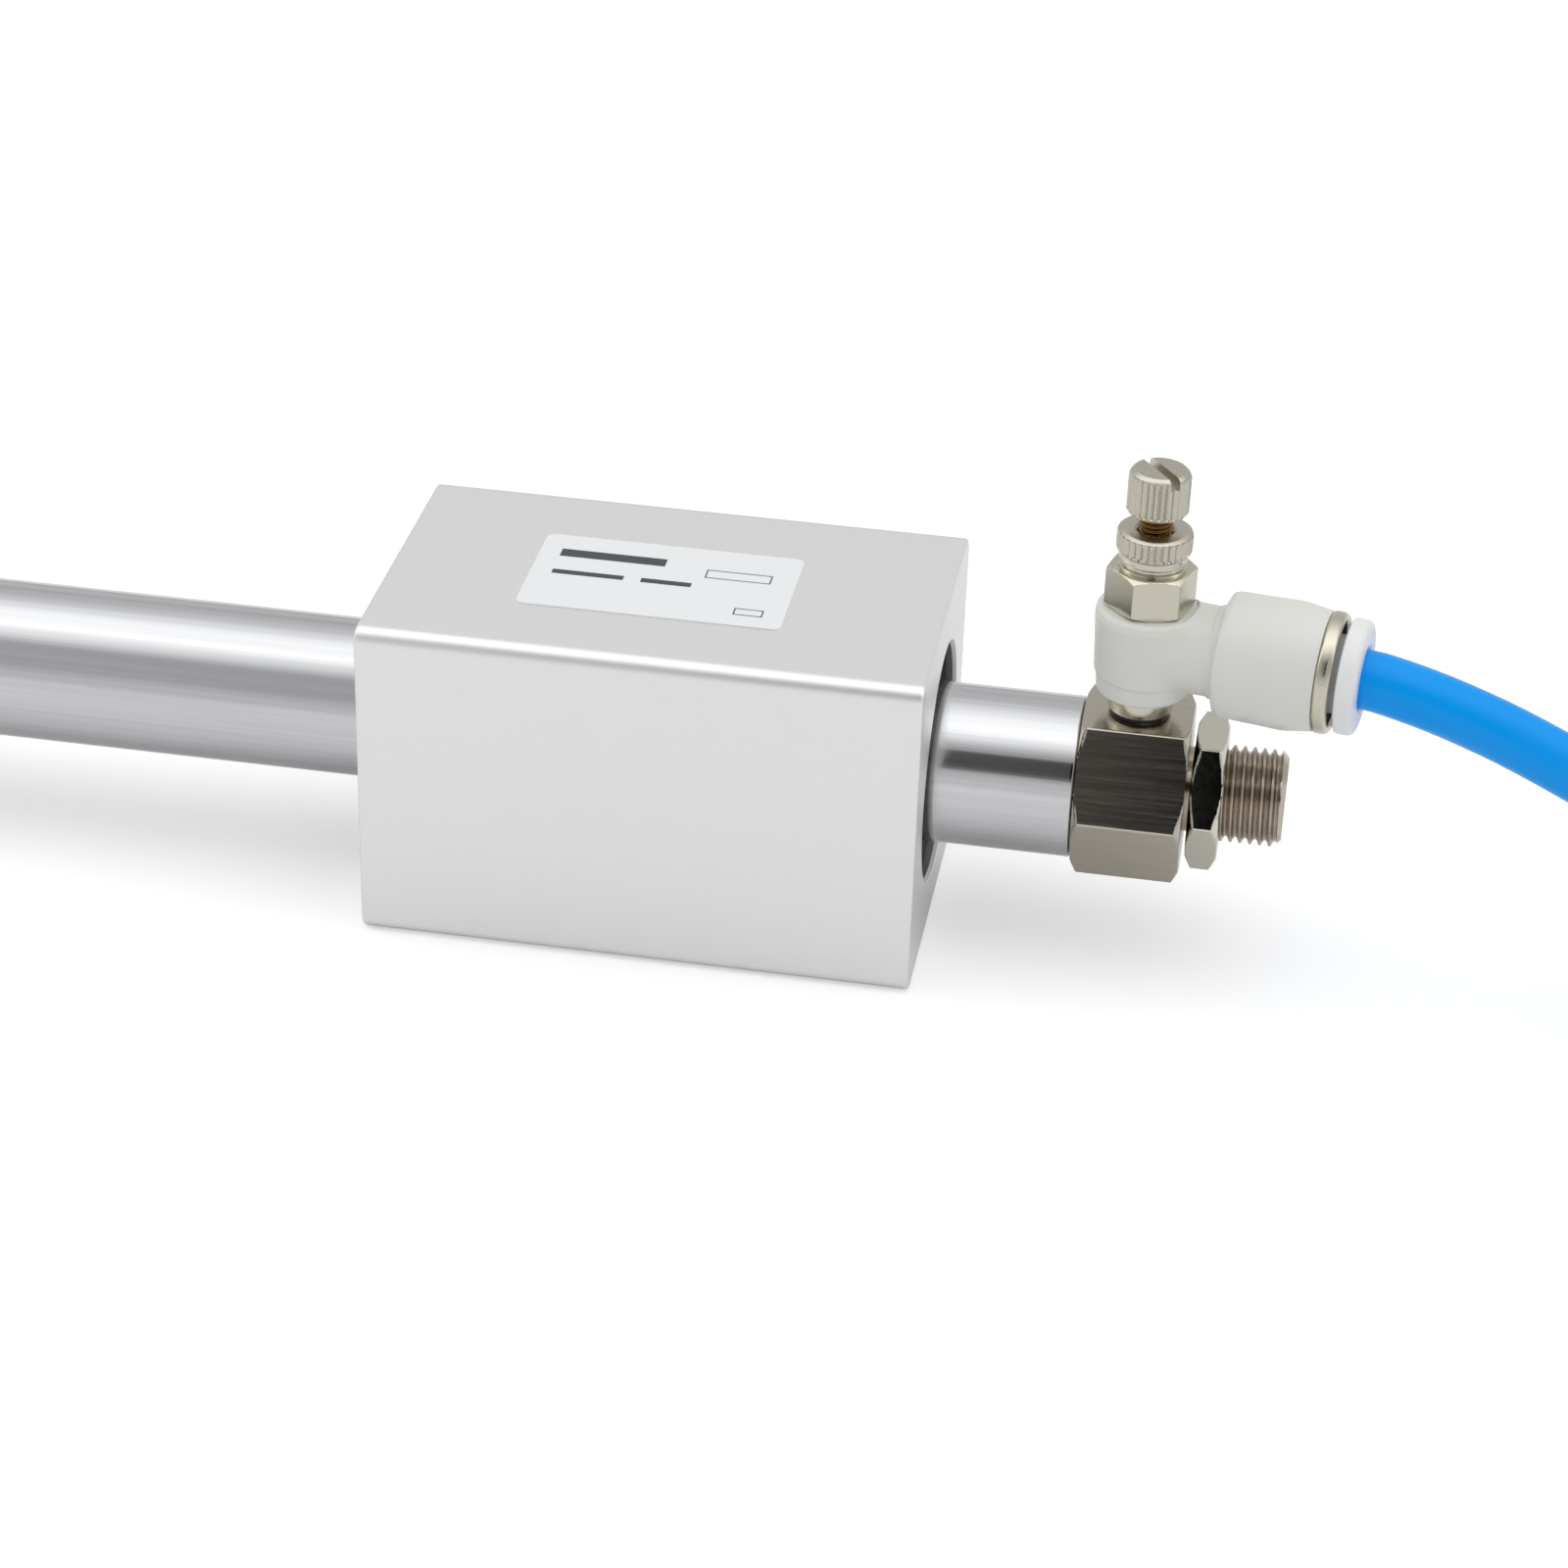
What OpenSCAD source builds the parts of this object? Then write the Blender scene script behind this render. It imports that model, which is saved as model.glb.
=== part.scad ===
// Magnetically coupled rodless air cylinder with an elbow speed controller screwed into its right port.
// The piston carries a stack of ring magnets inside a thin stainless tube, and the block that slides
// outside carries a matching stack, so the two travel together with no rod and no slot.
// The origin is on the tube axis at the shoulder of the left end cover. +X runs along the tube to the
// right end cover and +Z points up through the ports.

/* [Tube] */
// Bore of the tube
bore_d = 15; // [13:0.5:18]
// Wall thickness of the tube
tube_wall = 0.8; // [0.6:0.1:1.5]
// Stroke of the carriage
stroke = 300; // [100:10:600]

/* [Carriage] */
// Length of the carriage block
carriage_len = 57; // [55:1:80]
// Thinnest wall of the block, between its bore and a flat side
carriage_wall = 3.5; // [3:0.5:8]
// Radius of the block's four long edges
carriage_edge_r = 1.5; // [0.5:0.25:3]
// Bevel around the block's two end faces
carriage_bevel = 0.35; // [0.2:0.05:0.8]
// Gap between the block and the right end cover as the cylinder stands
carriage_gap = 14.5; // [3:0.5:60]
// Gap that is left between the block and a cover at the end of its stroke
end_gap = 2; // [1:0.5:6]
// Depth of the retaining rings below the block's end faces
ring_recess = 3; // [1:0.5:4]
// Spacing of the mounting holes along the tube
hole_pitch_x = 35; // [20:1:40]
// Spacing of the mounting holes across the tube
hole_pitch_y = 19; // [12:1:22]
// Tapping drill of the mounting holes
hole_d = 3.3; // [2.5:0.1:4.2]
// Depth of the mounting holes
hole_depth = 6; // [3:0.5:6]
// Length and width of the name plate's place on top of the block
label_size = [27, 15.6]; // [10:0.1:30]
// Thickness of the name plate's film
label_t = 0.15; // [0.1:0.05:0.4]

/* [Magnets] */
// Number of ring magnets in each stack
magnet_count = 4; // [2:1:4]
// Thickness of a ring magnet
magnet_t = 4; // [3:0.25:4.5]
// Thickness of an iron yoke between two magnets
yoke_t = 2.6; // [1.5:0.1:3]
// Width of an outer ring magnet, from its bore to its rim
magnet_w = 4.25; // [3:0.25:6]
// Gap between the tube and each magnet stack
magnet_gap = 0.4; // [0.3:0.05:0.6]
// Wall of the aluminium sleeve around the outer magnets
sleeve_wall = 0.95; // [0.6:0.05:2]

/* [End covers] */
// Height of the hexagon's flats above the tube
cover_step = 0.2; // [0.1:0.1:2]
// Length of the hexagon
cover_len = 11; // [9:0.5:16]
// Length of the spigot that the tube is pressed over
spigot_len = 6; // [5:0.5:7]
// Diameter of the threaded nose
nose_d = 10; // [8:0.5:12]
// Length of the threaded nose
nose_len = 10; // [7:0.5:20]
// Thickness of the mounting nut
nut_t = 3.2; // [2.5:0.1:5]
// Wall of the mounting nut between its bore and a flat
nut_wall = 2; // [1.5:0.25:3]
// Gap between the mounting nut and the hexagon
nut_gap = 0.5; // [0.2:0.1:2]
// Distance from the cover's shoulder to the port
port_inset = 5.5; // [4.5:0.25:6]
// Tapping drill of the port
port_d = 4.2; // [4.2:0.1:5]
// Thickness of the rubber bumper on each spigot
bumper_t = 2; // [1:0.25:2.5]

/* [Speed controller] */
// Direction of the elbow's arm, measured from the tube towards the front
arm_yaw = 9; // [-90:1:90]
// Thickness of the gasket under the stem's flange
gasket_t = 0.4; // [0.3:0.1:1]
// Diameter of the stem's flange
flange_d = 6.5; // [6.3:0.1:8]
// Height of the stem's flange
flange_h = 2.65; // [1.5:0.05:4]
// Height of the elbow's upright boss
boss_h = 9.05; // [8.8:0.05:10]
// Diameter of the upright boss at its top
boss_d = 10.6; // [10.2:0.1:12]
// Width across flats of the stem's hexagon
hex_af = 8; // [7.5:0.1:9]
// Height of the stem's hexagon
hex_h = 4.4; // [3:0.1:6]
// Height of the round cap above the hexagon
cap_h = 1.65; // [1.5:0.05:3]
// Diameter of the lock nut
lock_nut_d = 7.6; // [6:0.1:9]
// Thickness of the lock nut
lock_nut_t = 2.45; // [1.5:0.05:4]
// Length of needle thread that shows between lock nut and knob
thread_shown = 1.8; // [1.5:0.05:3]
// Diameter of the needle's thread
needle_d = 3.4; // [3.2:0.1:3.8]
// Diameter of the needle's knob
knob_d = 6.2; // [5:0.1:8]
// Height of the needle's knob
knob_h = 4.6; // [3:0.1:7]

/* [Hose and its socket] */
// Outer diameter of the hose
hose_d = 6; // [5:0.5:6.5]
// Distance from the port to the start of the socket's collar
collar_start = 7.9; // [7:0.1:12]
// Length of the collar
collar_len = 10.15; // [9.5:0.05:14]
// Wall of the collar around the hose, at the collar's start
collar_wall = 3.37; // [3.2:0.01:4.5]
// Width of the metal guide ring's rim
ring_w = 1.6; // [1:0.1:3]
// Travel of the release button, which is its gap at rest
button_gap = 0.5; // [0.3:0.05:1]
// Thickness of the release button's flange
button_t = 2; // [1:0.1:3]

/* [Hidden] */
$fn = 64;

// Clearances: parts that turn or slide, parts that only seat, and bought-in parts in their grooves.
run_fit = 0.05;
seat_fit = 0.02;
edge = 0.4;
cut = 1;

// Tube, stacks and carriage, worked outwards from the bore.
bore_r = bore_d / 2;
tube_r = bore_r + tube_wall;
stack_len = magnet_count * magnet_t + (magnet_count + 1) * yoke_t;
stack_pitch = magnet_t + yoke_t;
outer_magnet_ri = tube_r + magnet_gap;
outer_magnet_ro = outer_magnet_ri + magnet_w;
sleeve_ri = outer_magnet_ro + run_fit;
sleeve_ro = sleeve_ri + sleeve_wall;
block_bore_r = sleeve_ro + run_fit;
block_size = 2 * (block_bore_r + carriage_wall);
floor_z = -block_size / 2;
inner_magnet_ro = bore_r - magnet_gap - 0.1;
rest_x = cover_len + end_gap + stroke + carriage_len / 2 - (carriage_gap - end_gap);
tube_len = stroke + carriage_len + 2 * end_gap;
body_len = tube_len + 2 * cover_len;

// What closes each end of the carriage, from the magnets to the end face.
bush_play = 0.3;
felt_t = 1.8;
washer_t = 1.2;
clip_t = 1.1;
clip_groove_t = 1.2;
clip_groove_d = 0.7;
clip_x = carriage_len / 2 - ring_recess - clip_groove_t;
washer_x = clip_x - washer_t;
felt_x = washer_x - felt_t;
bush_x = stack_len / 2 + bush_play;
bush_len = felt_x - bush_x;

// Piston, whose heads fill what the magnets leave of its length. Each head has two grooves, the outer
// one for its seal and the inner one for its wear ring, between walls of one thickness.
shaft_r = 2.5;
piston_play = 0.2;
piston_len = tube_len - 2 * (spigot_len + bumper_t + piston_play) - stroke;
head_len = (piston_len - stack_len) / 2;
head_r = bore_r - 0.15;
head_wall = 1.3;
groove_len = (head_len - 3 * head_wall) / 2;
groove_play = 0.1;
seal_x = head_wall;
seal_ri = bore_r - 1.9;
wear_x = seal_x + groove_len + head_wall;
wear_ri = bore_r - 0.8;

// End covers and their nuts.
cover_af = 2 * (tube_r + cover_step);
cover_corner_r = cover_af / 2 / cos(30);
cover_face_r = cover_af / 2 - 0.1;
nose_r = nose_d / 2;
relief_r = nose_r - 0.7;
relief_len = 1.2;
nose_bevel = 0.7;
spigot_r = bore_r - run_fit;
oring_x = 2;
oring_len = 1.9;
oring_ri = spigot_r - 1.1;
port_r = port_d / 2;
port_top = cover_af / 2;
port_bevel = 0.6;
port_depth = 5.2;
passage_r = 1.5;
nut_af = nose_d + 2 * nut_wall;
nut_corner_r = nut_af / 2 / cos(30);

// Heights of the speed controller above the tube axis.
port_x = body_len - port_inset;
flange_z = port_top + gasket_t;
boss_z = flange_z + flange_h;
hex_z = boss_z + boss_h;
cap_z = hex_z + hex_h;
lock_z = cap_z + cap_h;
knob_z = lock_z + lock_nut_t + thread_shown;
knob_top_z = knob_z + knob_h;
arm_up = 5.1;
arm_z = boss_z + arm_up;

// Stem, and what is inside it.
shank_r = port_r - run_fit;
shank_len = 4.4;
shank_z = port_top - shank_len;
flange_r = flange_d / 2;
stem_r = 2.8;
orifice_r = 1;
cavity_r = 1.5;
seat_z = arm_z - 2.25;
thread_r = needle_d / 2 + run_fit;
thread_in_z = cap_z - 2.5;
needle_thread_z = thread_in_z + thread_shown;
cross_hole_r = 0.9;
bypass_r = 0.4;
bypass_z = boss_z + 1.85;
groove_r = 2.1;
oring_w = 0.9;
low_oring_z = boss_z + 0.35;
high_oring_z = arm_z + 2.2;
check_z = arm_z - 2.65;
check_w = 1.2;
hex_corner_r = hex_af / 2 / cos(30);
hex_turn = 12;
cap_r = hex_af / 2 - 0.6;

// Needle.
needle_thread_r = needle_d / 2;
needle_shank_r = cavity_r - 0.08;
needle_rod_r = 0.9;
needle_tip_r = 0.35;
needle_tip_len = 2.2;
needle_oring_z = arm_z + 2.55;
needle_oring_w = 1;
needle_oring_ri = 0.95;
knob_grip = 1;

// Elbow arm, measured along the arm from the port axis.
neck_r = 4.6;
neck_step_r = 4.78;
neck_step_s = 7;
collar_end = collar_start + collar_len;
collar_r0 = hose_d / 2 + collar_wall;
collar_r1 = collar_r0 + 0.15;
collar_r2 = collar_r0 - 0.3;
taper_len = 2.7;
ring_r = collar_r0 - 0.2;
ring_end = collar_end + ring_w;
button_s = ring_end + button_gap;
button_end = button_s + button_t;
button_r = ring_r - 0.32;
hose_r = hose_d / 2;
hose_hole_r = hose_r + 0.1;
hose_stop = collar_start + 1.6;
seal_s = hose_stop + 3;
seal_room = 2;
chamber_s = seal_s + seal_room;
chamber_r = hose_r + 1.6;
guide_ri = hose_r + 1.05;
shank_ro = guide_ri - 0.07;
collet_len = 1.5;
shank_s = chamber_s + collet_len + 0.6 + button_gap;
collet_slot = 0.5;
collet_slots = 6;

// Route of the free hose: distance from the port along the arm, to the left of the arm, and height. It
// leaves the button level, droops, bears a little to the left and lands on the hank.
route = [
    [22.2, 0, 16.62], [24.5, 0, 16.38], [27, 0, 15.95], [30, 0, 15.3], [33, 0, 14.5], [36, 0, 13.6],
    [39, 0, 12.55], [43, 0, 11], [47, 0, 9.3], [51, 0, 7.3], [55, 0, 5.1], [59, 0, 2.7],
    [63, 0, 0.2], [67, 0, -2.1], [71, 0, -4.2], [75, 0.1, -5.9], [79, 0.3, -7.2], [83, 0.6, -8],
    [87, 1, -8.4], [91, 1.5, -8.5], [94, 1.9, -8.5]
];
route_shift = [button_end - route[0][0], 0, 0];
landing = route[len(route) - 1] + route_shift;
hose_sides = 12;

// Hank of the spare hose: two turns wide and two layers high, folded at three diameters. Its front run
// starts before the place where the hose lands on it, and lies parallel to the tube at the arm's own yaw.
hank_turn = 9;
hank_run = 73;
hank_lead = 11.5;
hank_across = 2;
hank_layers = 2;
fold_r = 3 * hose_d;
hank_r = fold_r + (hank_across - 1) * hose_d;
hank_h = hank_layers * hose_d;
tie_w = 3;
tie_t = 0.7;
tie_head = 4.8;
tie_x = 45;

nickel = [0.72, 0.7, 0.66];
steel = [0.72, 0.73, 0.76];
anodised = [0.83, 0.84, 0.85];
iron = [0.42, 0.42, 0.44];
magnet_grey = [0.3, 0.3, 0.33];
resin = [0.87, 0.875, 0.855];
rubber = [0.1, 0.1, 0.1];
brass = [0.72, 0.55, 0.25];

// Places -------------------------------------------------------------------------------------------

module along_x(x) translate([x, 0, 0]) rotate([0, 90, 0]) children();

module at_left_end() children();

module at_right_end() translate([body_len, 0, 0]) mirror([1, 0, 0]) children();

// Carriage pieces are drawn about the block's centre, and the left ones are mirrored.
module in_carriage(side = 1) translate([rest_x, 0, 0]) mirror([side < 0 ? 1 : 0, 0, 0]) children();

module at_port() translate([port_x, 0, 0]) children();

module at_arm() at_port() translate([0, 0, arm_z]) rotate([0, 0, -arm_yaw]) rotate([0, 90, 0]) children();

// A plain ring along X from x, between two radii.
module ring_along_x(x, length, ri, ro) along_x(x) rotate_extrude()
    translate([ri, 0]) square([ro - ri, length]);

// A ring whose section has bevelled corners.
module bevelled_ring(length, ri, ro, b) rotate_extrude()
    polygon([[ri + b, 0], [ro - b, 0], [ro, b], [ro, length - b], [ro - b, length],
             [ri + b, length], [ri, length - b], [ri, b]]);

// A squeezed O-ring between two radii.
module oring(length, ri, ro) {
    bulge = (ro - ri) / 4;
    bevelled_ring(length, ri + seat_fit, ro - seat_fit, min(bulge, length / 4));
}

// A hexagon prism with both faces turned down to the flats, as bar stock is.
module turned_hexagon(corner_r, face_r, length) intersection() {
    rotate([0, 0, 30]) cylinder(r = corner_r, h = length, $fn = 6);
    rotate_extrude() polygon([
        [0, 0], [face_r, 0], [corner_r + cut, (corner_r + cut - face_r) * tan(30)],
        [corner_r + cut, length - (corner_r + cut - face_r) * tan(30)], [face_r, length], [0, length]]);
}

// Cylinder -----------------------------------------------------------------------------------------

module cylinder_tube() color(steel) along_x(cover_len) rotate_extrude()
    polygon([[bore_r + 0.2, 0], [tube_r, 0], [tube_r, tube_len], [bore_r + 0.2, tube_len],
             [bore_r, tube_len - 0.4], [bore_r, 0.4]]);

module end_cover() color(nickel) difference() {
    union() {
        along_x(0) turned_hexagon(cover_corner_r, cover_face_r, cover_len);
        along_x(-nose_len) rotate_extrude() polygon([
            [0, 0], [nose_r - nose_bevel, 0], [nose_r, nose_bevel], [nose_r, nose_len - relief_len],
            [relief_r, nose_len - relief_len], [relief_r, nose_len + cut], [0, nose_len + cut]]);
        along_x(cover_len - cut) rotate_extrude() polygon([
            [0, 0], [spigot_r, 0], [spigot_r, cut + oring_x], [oring_ri, cut + oring_x],
            [oring_ri, cut + oring_x + oring_len], [spigot_r, cut + oring_x + oring_len],
            [spigot_r, cut + spigot_len - edge], [spigot_r - edge, cut + spigot_len],
            [0, cut + spigot_len]]);
    }
    // Port with a tapped mouth, and the way from it into the tube.
    translate([port_inset, 0, 0]) rotate_extrude() polygon([
        [0, -passage_r], [passage_r, -passage_r], [passage_r, port_top - port_depth],
        [port_r, port_top - port_depth], [port_r, port_top - port_bevel],
        [port_r + port_bevel + cut, port_top + cut], [0, port_top + cut]]);
    along_x(port_inset) cylinder(r = passage_r, h = cover_len + spigot_len);
}

module left_end_cover() at_left_end() end_cover();

module right_end_cover() at_right_end() end_cover();

module cover_oring() color(rubber) along_x(cover_len + oring_x + 0.2)
    oring(oring_len - 0.4, oring_ri, bore_r);

module cover_orings() {
    at_left_end() cover_oring();
    at_right_end() cover_oring();
}

module bumper() color(rubber) along_x(cover_len + spigot_len)
    bevelled_ring(bumper_t, passage_r + 1, bore_r - 0.4, 0.3);

module bumpers() {
    at_left_end() bumper();
    at_right_end() bumper();
}

module mounting_nut() color(nickel) along_x(-nut_gap - nut_t) difference() {
    turned_hexagon(nut_corner_r, nut_af / 2 - 0.1, nut_t);
    translate([0, 0, -cut]) cylinder(r = nose_r + run_fit, h = nut_t + 2 * cut);
    for (z = [0, nut_t]) translate([0, 0, z]) mirror([0, 0, z > 0 ? 1 : 0])
        translate([0, 0, -cut]) cylinder(r1 = nose_r + run_fit + edge + cut, r2 = nose_r + run_fit,
                                         h = edge + cut);
}

module left_mounting_nut() at_left_end() mounting_nut();

module right_mounting_nut() at_right_end() mounting_nut();

// Piston -------------------------------------------------------------------------------------------

// The shaft runs through both heads and stops short of their faces.
module piston_shaft() color(steel) in_carriage() along_x(edge * 3 - piston_len / 2)
    rotate_extrude() polygon([
        [0, 0], [shaft_r - edge, 0], [shaft_r, edge], [shaft_r, piston_len - 7 * edge],
        [shaft_r - edge, piston_len - 6 * edge], [0, piston_len - 6 * edge]]);

// A head from its outer face inwards, with the grooves for its seal and its wear ring.
module piston_head() color(anodised) translate([piston_len / 2, 0, 0]) mirror([1, 0, 0]) along_x(0)
    rotate_extrude() polygon([
        [shaft_r + seat_fit, 0], [head_r - 0.6, 0], [head_r, 0.6], [head_r, seal_x],
        [seal_ri, seal_x], [seal_ri, seal_x + groove_len], [head_r, seal_x + groove_len],
        [head_r, wear_x], [wear_ri, wear_x], [wear_ri, wear_x + groove_len],
        [head_r, wear_x + groove_len], [head_r, head_len], [shaft_r + seat_fit, head_len]]);

module right_piston_head() in_carriage() piston_head();

module left_piston_head() in_carriage(-1) piston_head();

// A lip seal, its two lips towards the pressure.
module piston_seal() color(rubber) translate([piston_len / 2, 0, 0]) mirror([1, 0, 0])
    along_x(seal_x + groove_play) let (long = groove_len - 2 * groove_play, deep = long / 2)
    rotate_extrude() polygon([
        [seal_ri + seat_fit, deep / 3], [seal_ri + 0.5, 0], [seal_ri + 0.8, deep],
        [bore_r - 0.6, deep], [bore_r - 0.3, 0], [bore_r - seat_fit, deep / 3],
        [bore_r - 0.1, deep * 1.4], [head_r - 0.1, long], [seal_ri + seat_fit, long]]);

module right_piston_seal() in_carriage() piston_seal();

module left_piston_seal() in_carriage(-1) piston_seal();

module wear_ring() color(resin) translate([piston_len / 2, 0, 0]) mirror([1, 0, 0])
    along_x(wear_x + groove_play)
    bevelled_ring(groove_len - 2 * groove_play, wear_ri + seat_fit, bore_r - run_fit, groove_len / 16);

module right_wear_ring() in_carriage() wear_ring();

module left_wear_ring() in_carriage(-1) wear_ring();

// One magnet or yoke of a stack, counted from the left.
module inner_magnet(i) color(magnet_grey) in_carriage()
    ring_along_x(i * stack_pitch - magnet_t - stack_len / 2, magnet_t, shaft_r + seat_fit, inner_magnet_ro);

module inner_yoke(i) color(iron) in_carriage()
    ring_along_x((i - 1) * stack_pitch - stack_len / 2, yoke_t, shaft_r + seat_fit, inner_magnet_ro + 0.1);

// Carriage -----------------------------------------------------------------------------------------

module block_section() {
    flat = block_size - 2 * carriage_edge_r;
    square([flat, block_size], center = true);
    square([block_size, flat], center = true);
    for (x = [-1, 1], y = [-1, 1]) translate([x, y] * flat / 2) circle(r = carriage_edge_r);
}

module carriage_block() color(anodised) in_carriage() difference() {
    along_x(-carriage_len / 2) linear_extrude(carriage_len) block_section();
    // Bevel around each end face, one straight cut to a side.
    for (end = [0, 1], turn = [0:90:270]) mirror([end, 0, 0]) rotate([turn, 0, 0])
        translate([carriage_len / 2, 0, block_size / 2 - carriage_bevel]) rotate([0, 45, 0])
            translate([-carriage_bevel, -block_size, 0]) cube([4, 2 * block_size, 4]);
    // Bore, with a bevelled mouth and a groove for the retaining ring at each end.
    along_x(-carriage_len / 2 - cut) cylinder(r = block_bore_r, h = carriage_len + 2 * cut);
    for (end = [0, 1]) mirror([end, 0, 0]) {
        along_x(clip_x) cylinder(r = block_bore_r + clip_groove_d, h = clip_groove_t);
        along_x(carriage_len / 2 - 0.5)
            cylinder(r1 = block_bore_r, r2 = block_bore_r + 0.5 + cut, h = 0.5 + cut);
    }
    // Tapped mounting holes in the underside.
    for (x = [-1, 1], y = [-1, 1])
        translate([x * hole_pitch_x / 2, y * hole_pitch_y / 2, -block_size / 2]) rotate_extrude()
            polygon([[0, -cut], [hole_d / 2 + edge + cut, -cut], [hole_d / 2, edge],
                     [hole_d / 2, hole_depth], [0, hole_depth + hole_d / 4]]);
}

module carriage_label() color([0.9, 0.91, 0.92]) in_carriage()
    translate([-0.8, -0.4, block_size / 2]) linear_extrude(label_t) square(label_size, center = true);

module magnet_sleeve() color(steel) in_carriage()
    along_x(-stack_len / 2) bevelled_ring(stack_len, sleeve_ri, sleeve_ro, 0.2);

module outer_magnet(i) color(magnet_grey) in_carriage()
    ring_along_x(i * stack_pitch - magnet_t - stack_len / 2, magnet_t, outer_magnet_ri, outer_magnet_ro);

module outer_yoke(i) color(iron) in_carriage()
    ring_along_x((i - 1) * stack_pitch - stack_len / 2, yoke_t, outer_magnet_ri - 0.1, outer_magnet_ro);

module wear_bush() color(resin) along_x(bush_x)
    bevelled_ring(bush_len, tube_r + run_fit, block_bore_r - run_fit, 0.3);

module right_wear_bush() in_carriage() wear_bush();

module left_wear_bush() in_carriage(-1) wear_bush();

module felt_rings() color([0.85, 0.82, 0.72]) for (side = [-1, 1]) in_carriage(side)
    ring_along_x(felt_x, felt_t, tube_r + run_fit, block_bore_r - 0.3);

module spacer_washer() color(steel) along_x(washer_x)
    bevelled_ring(washer_t, tube_r + 0.6, block_bore_r - 0.1, 0.15);

module right_spacer_washer() in_carriage() spacer_washer();

module left_spacer_washer() in_carriage(-1) spacer_washer();

// A snap ring for bores: narrow opposite its gap, with an eye for the pliers on each side of it.
module retaining_ring() {
    ro = block_bore_r + clip_groove_d - 0.1;
    eye_r = 1.6;
    eye_at = ro - 2.2;
    half_gap = 14;
    color(iron) along_x(clip_x + (clip_groove_t - clip_t) / 2) rotate([0, 0, 180]) linear_extrude(clip_t)
    difference() {
        union() {
            difference() {
                circle(r = ro, $fn = 128);
                translate([0.35, 0]) circle(r = ro - 1.6, $fn = 128);
                polygon([[0, 0], 2 * ro * [-cos(half_gap), -sin(half_gap)],
                         2 * ro * [-cos(half_gap), sin(half_gap)]]);
            }
            for (side = [-1, 1]) rotate(180 + side * (half_gap + 4)) translate([eye_at, 0])
                circle(r = eye_r);
        }
        for (side = [-1, 1]) rotate(180 + side * (half_gap + 4)) translate([eye_at, 0]) circle(r = 0.65);
        difference() {
            circle(r = 2 * ro);
            circle(r = ro, $fn = 128);
        }
    }
}

module right_retaining_ring() in_carriage() retaining_ring();

module left_retaining_ring() in_carriage(-1) retaining_ring();

// Speed controller ---------------------------------------------------------------------------------

// The stem is one turned piece: the shank in the port, the flange, the post that the elbow swivels on,
// the hexagon and the cap. It is hollow, with the needle's seat above the shank.
module valve_stem() color(nickel) at_port() difference() {
    union() {
        rotate_extrude() polygon([
            [0, shank_z], [shank_r - edge, shank_z], [shank_r, shank_z + edge],
            [shank_r, flange_z], [flange_r - 0.2, flange_z], [flange_r, flange_z + 0.2],
            [flange_r, boss_z - 0.2], [flange_r - 0.2, boss_z], [stem_r, boss_z],
            [stem_r, low_oring_z], [groove_r, low_oring_z], [groove_r, low_oring_z + oring_w],
            [stem_r, low_oring_z + oring_w], [stem_r, check_z], [groove_r, check_z],
            [groove_r, check_z + check_w], [stem_r, check_z + check_w],
            [stem_r, high_oring_z], [groove_r, high_oring_z], [groove_r, high_oring_z + oring_w],
            [stem_r, high_oring_z + oring_w], [stem_r, hex_z + 0.2], [0, hex_z + 0.2]]);
        translate([0, 0, hex_z]) rotate([0, 0, hex_turn - 30])
            turned_hexagon(hex_corner_r, hex_af / 2 - 0.05, hex_h);
        translate([0, 0, cap_z - edge]) rotate_extrude() polygon([
            [0, 0], [cap_r, 0], [cap_r, edge + 0.2], [cap_r - edge, edge + 0.5],
            [cap_r - edge, edge + 0.8], [cap_r, edge + 1.1], [cap_r, cap_h + edge - 0.2],
            [cap_r - 0.2, cap_h + edge], [0, cap_h + edge]]);
    }
    translate([0, 0, shank_z - cut]) cylinder(r = orifice_r, h = seat_z - shank_z + 2 * cut);
    translate([0, 0, seat_z]) cylinder(r = cavity_r, h = thread_in_z - seat_z + cut);
    translate([0, 0, thread_in_z]) cylinder(r = thread_r, h = lock_z - thread_in_z + cut);
    for (turn = [0, 90]) rotate([0, 0, turn]) {
        translate([0, 0, arm_z]) rotate([90, 0, 0])
            cylinder(r = cross_hole_r, h = 2 * flange_r, center = true);
        translate([0, 0, bypass_z]) rotate([90, 0, 0])
            cylinder(r = bypass_r, h = 2 * flange_r, center = true);
    }
}

module port_gasket() color(rubber) at_port() translate([0, 0, port_top])
    bevelled_ring(gasket_t, port_r + 0.7, flange_r + 0.15, 0.1);

module stem_orings() color(rubber) at_port() for (z = [low_oring_z, high_oring_z])
    translate([0, 0, z + 0.05]) oring(oring_w - 0.1, groove_r, stem_r + run_fit);

// The check seal is a cup whose lip lets air back into the cylinder past the needle.
module check_seal() color(rubber) at_port() translate([0, 0, check_z + 0.05]) rotate_extrude()
    polygon([[groove_r + seat_fit, 0.5], [groove_r + 0.25, 0.5], [stem_r - 0.1, 0],
             [stem_r + run_fit - seat_fit, 0.1], [stem_r, check_w - 0.1],
             [groove_r + seat_fit, check_w - 0.1]]);

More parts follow.
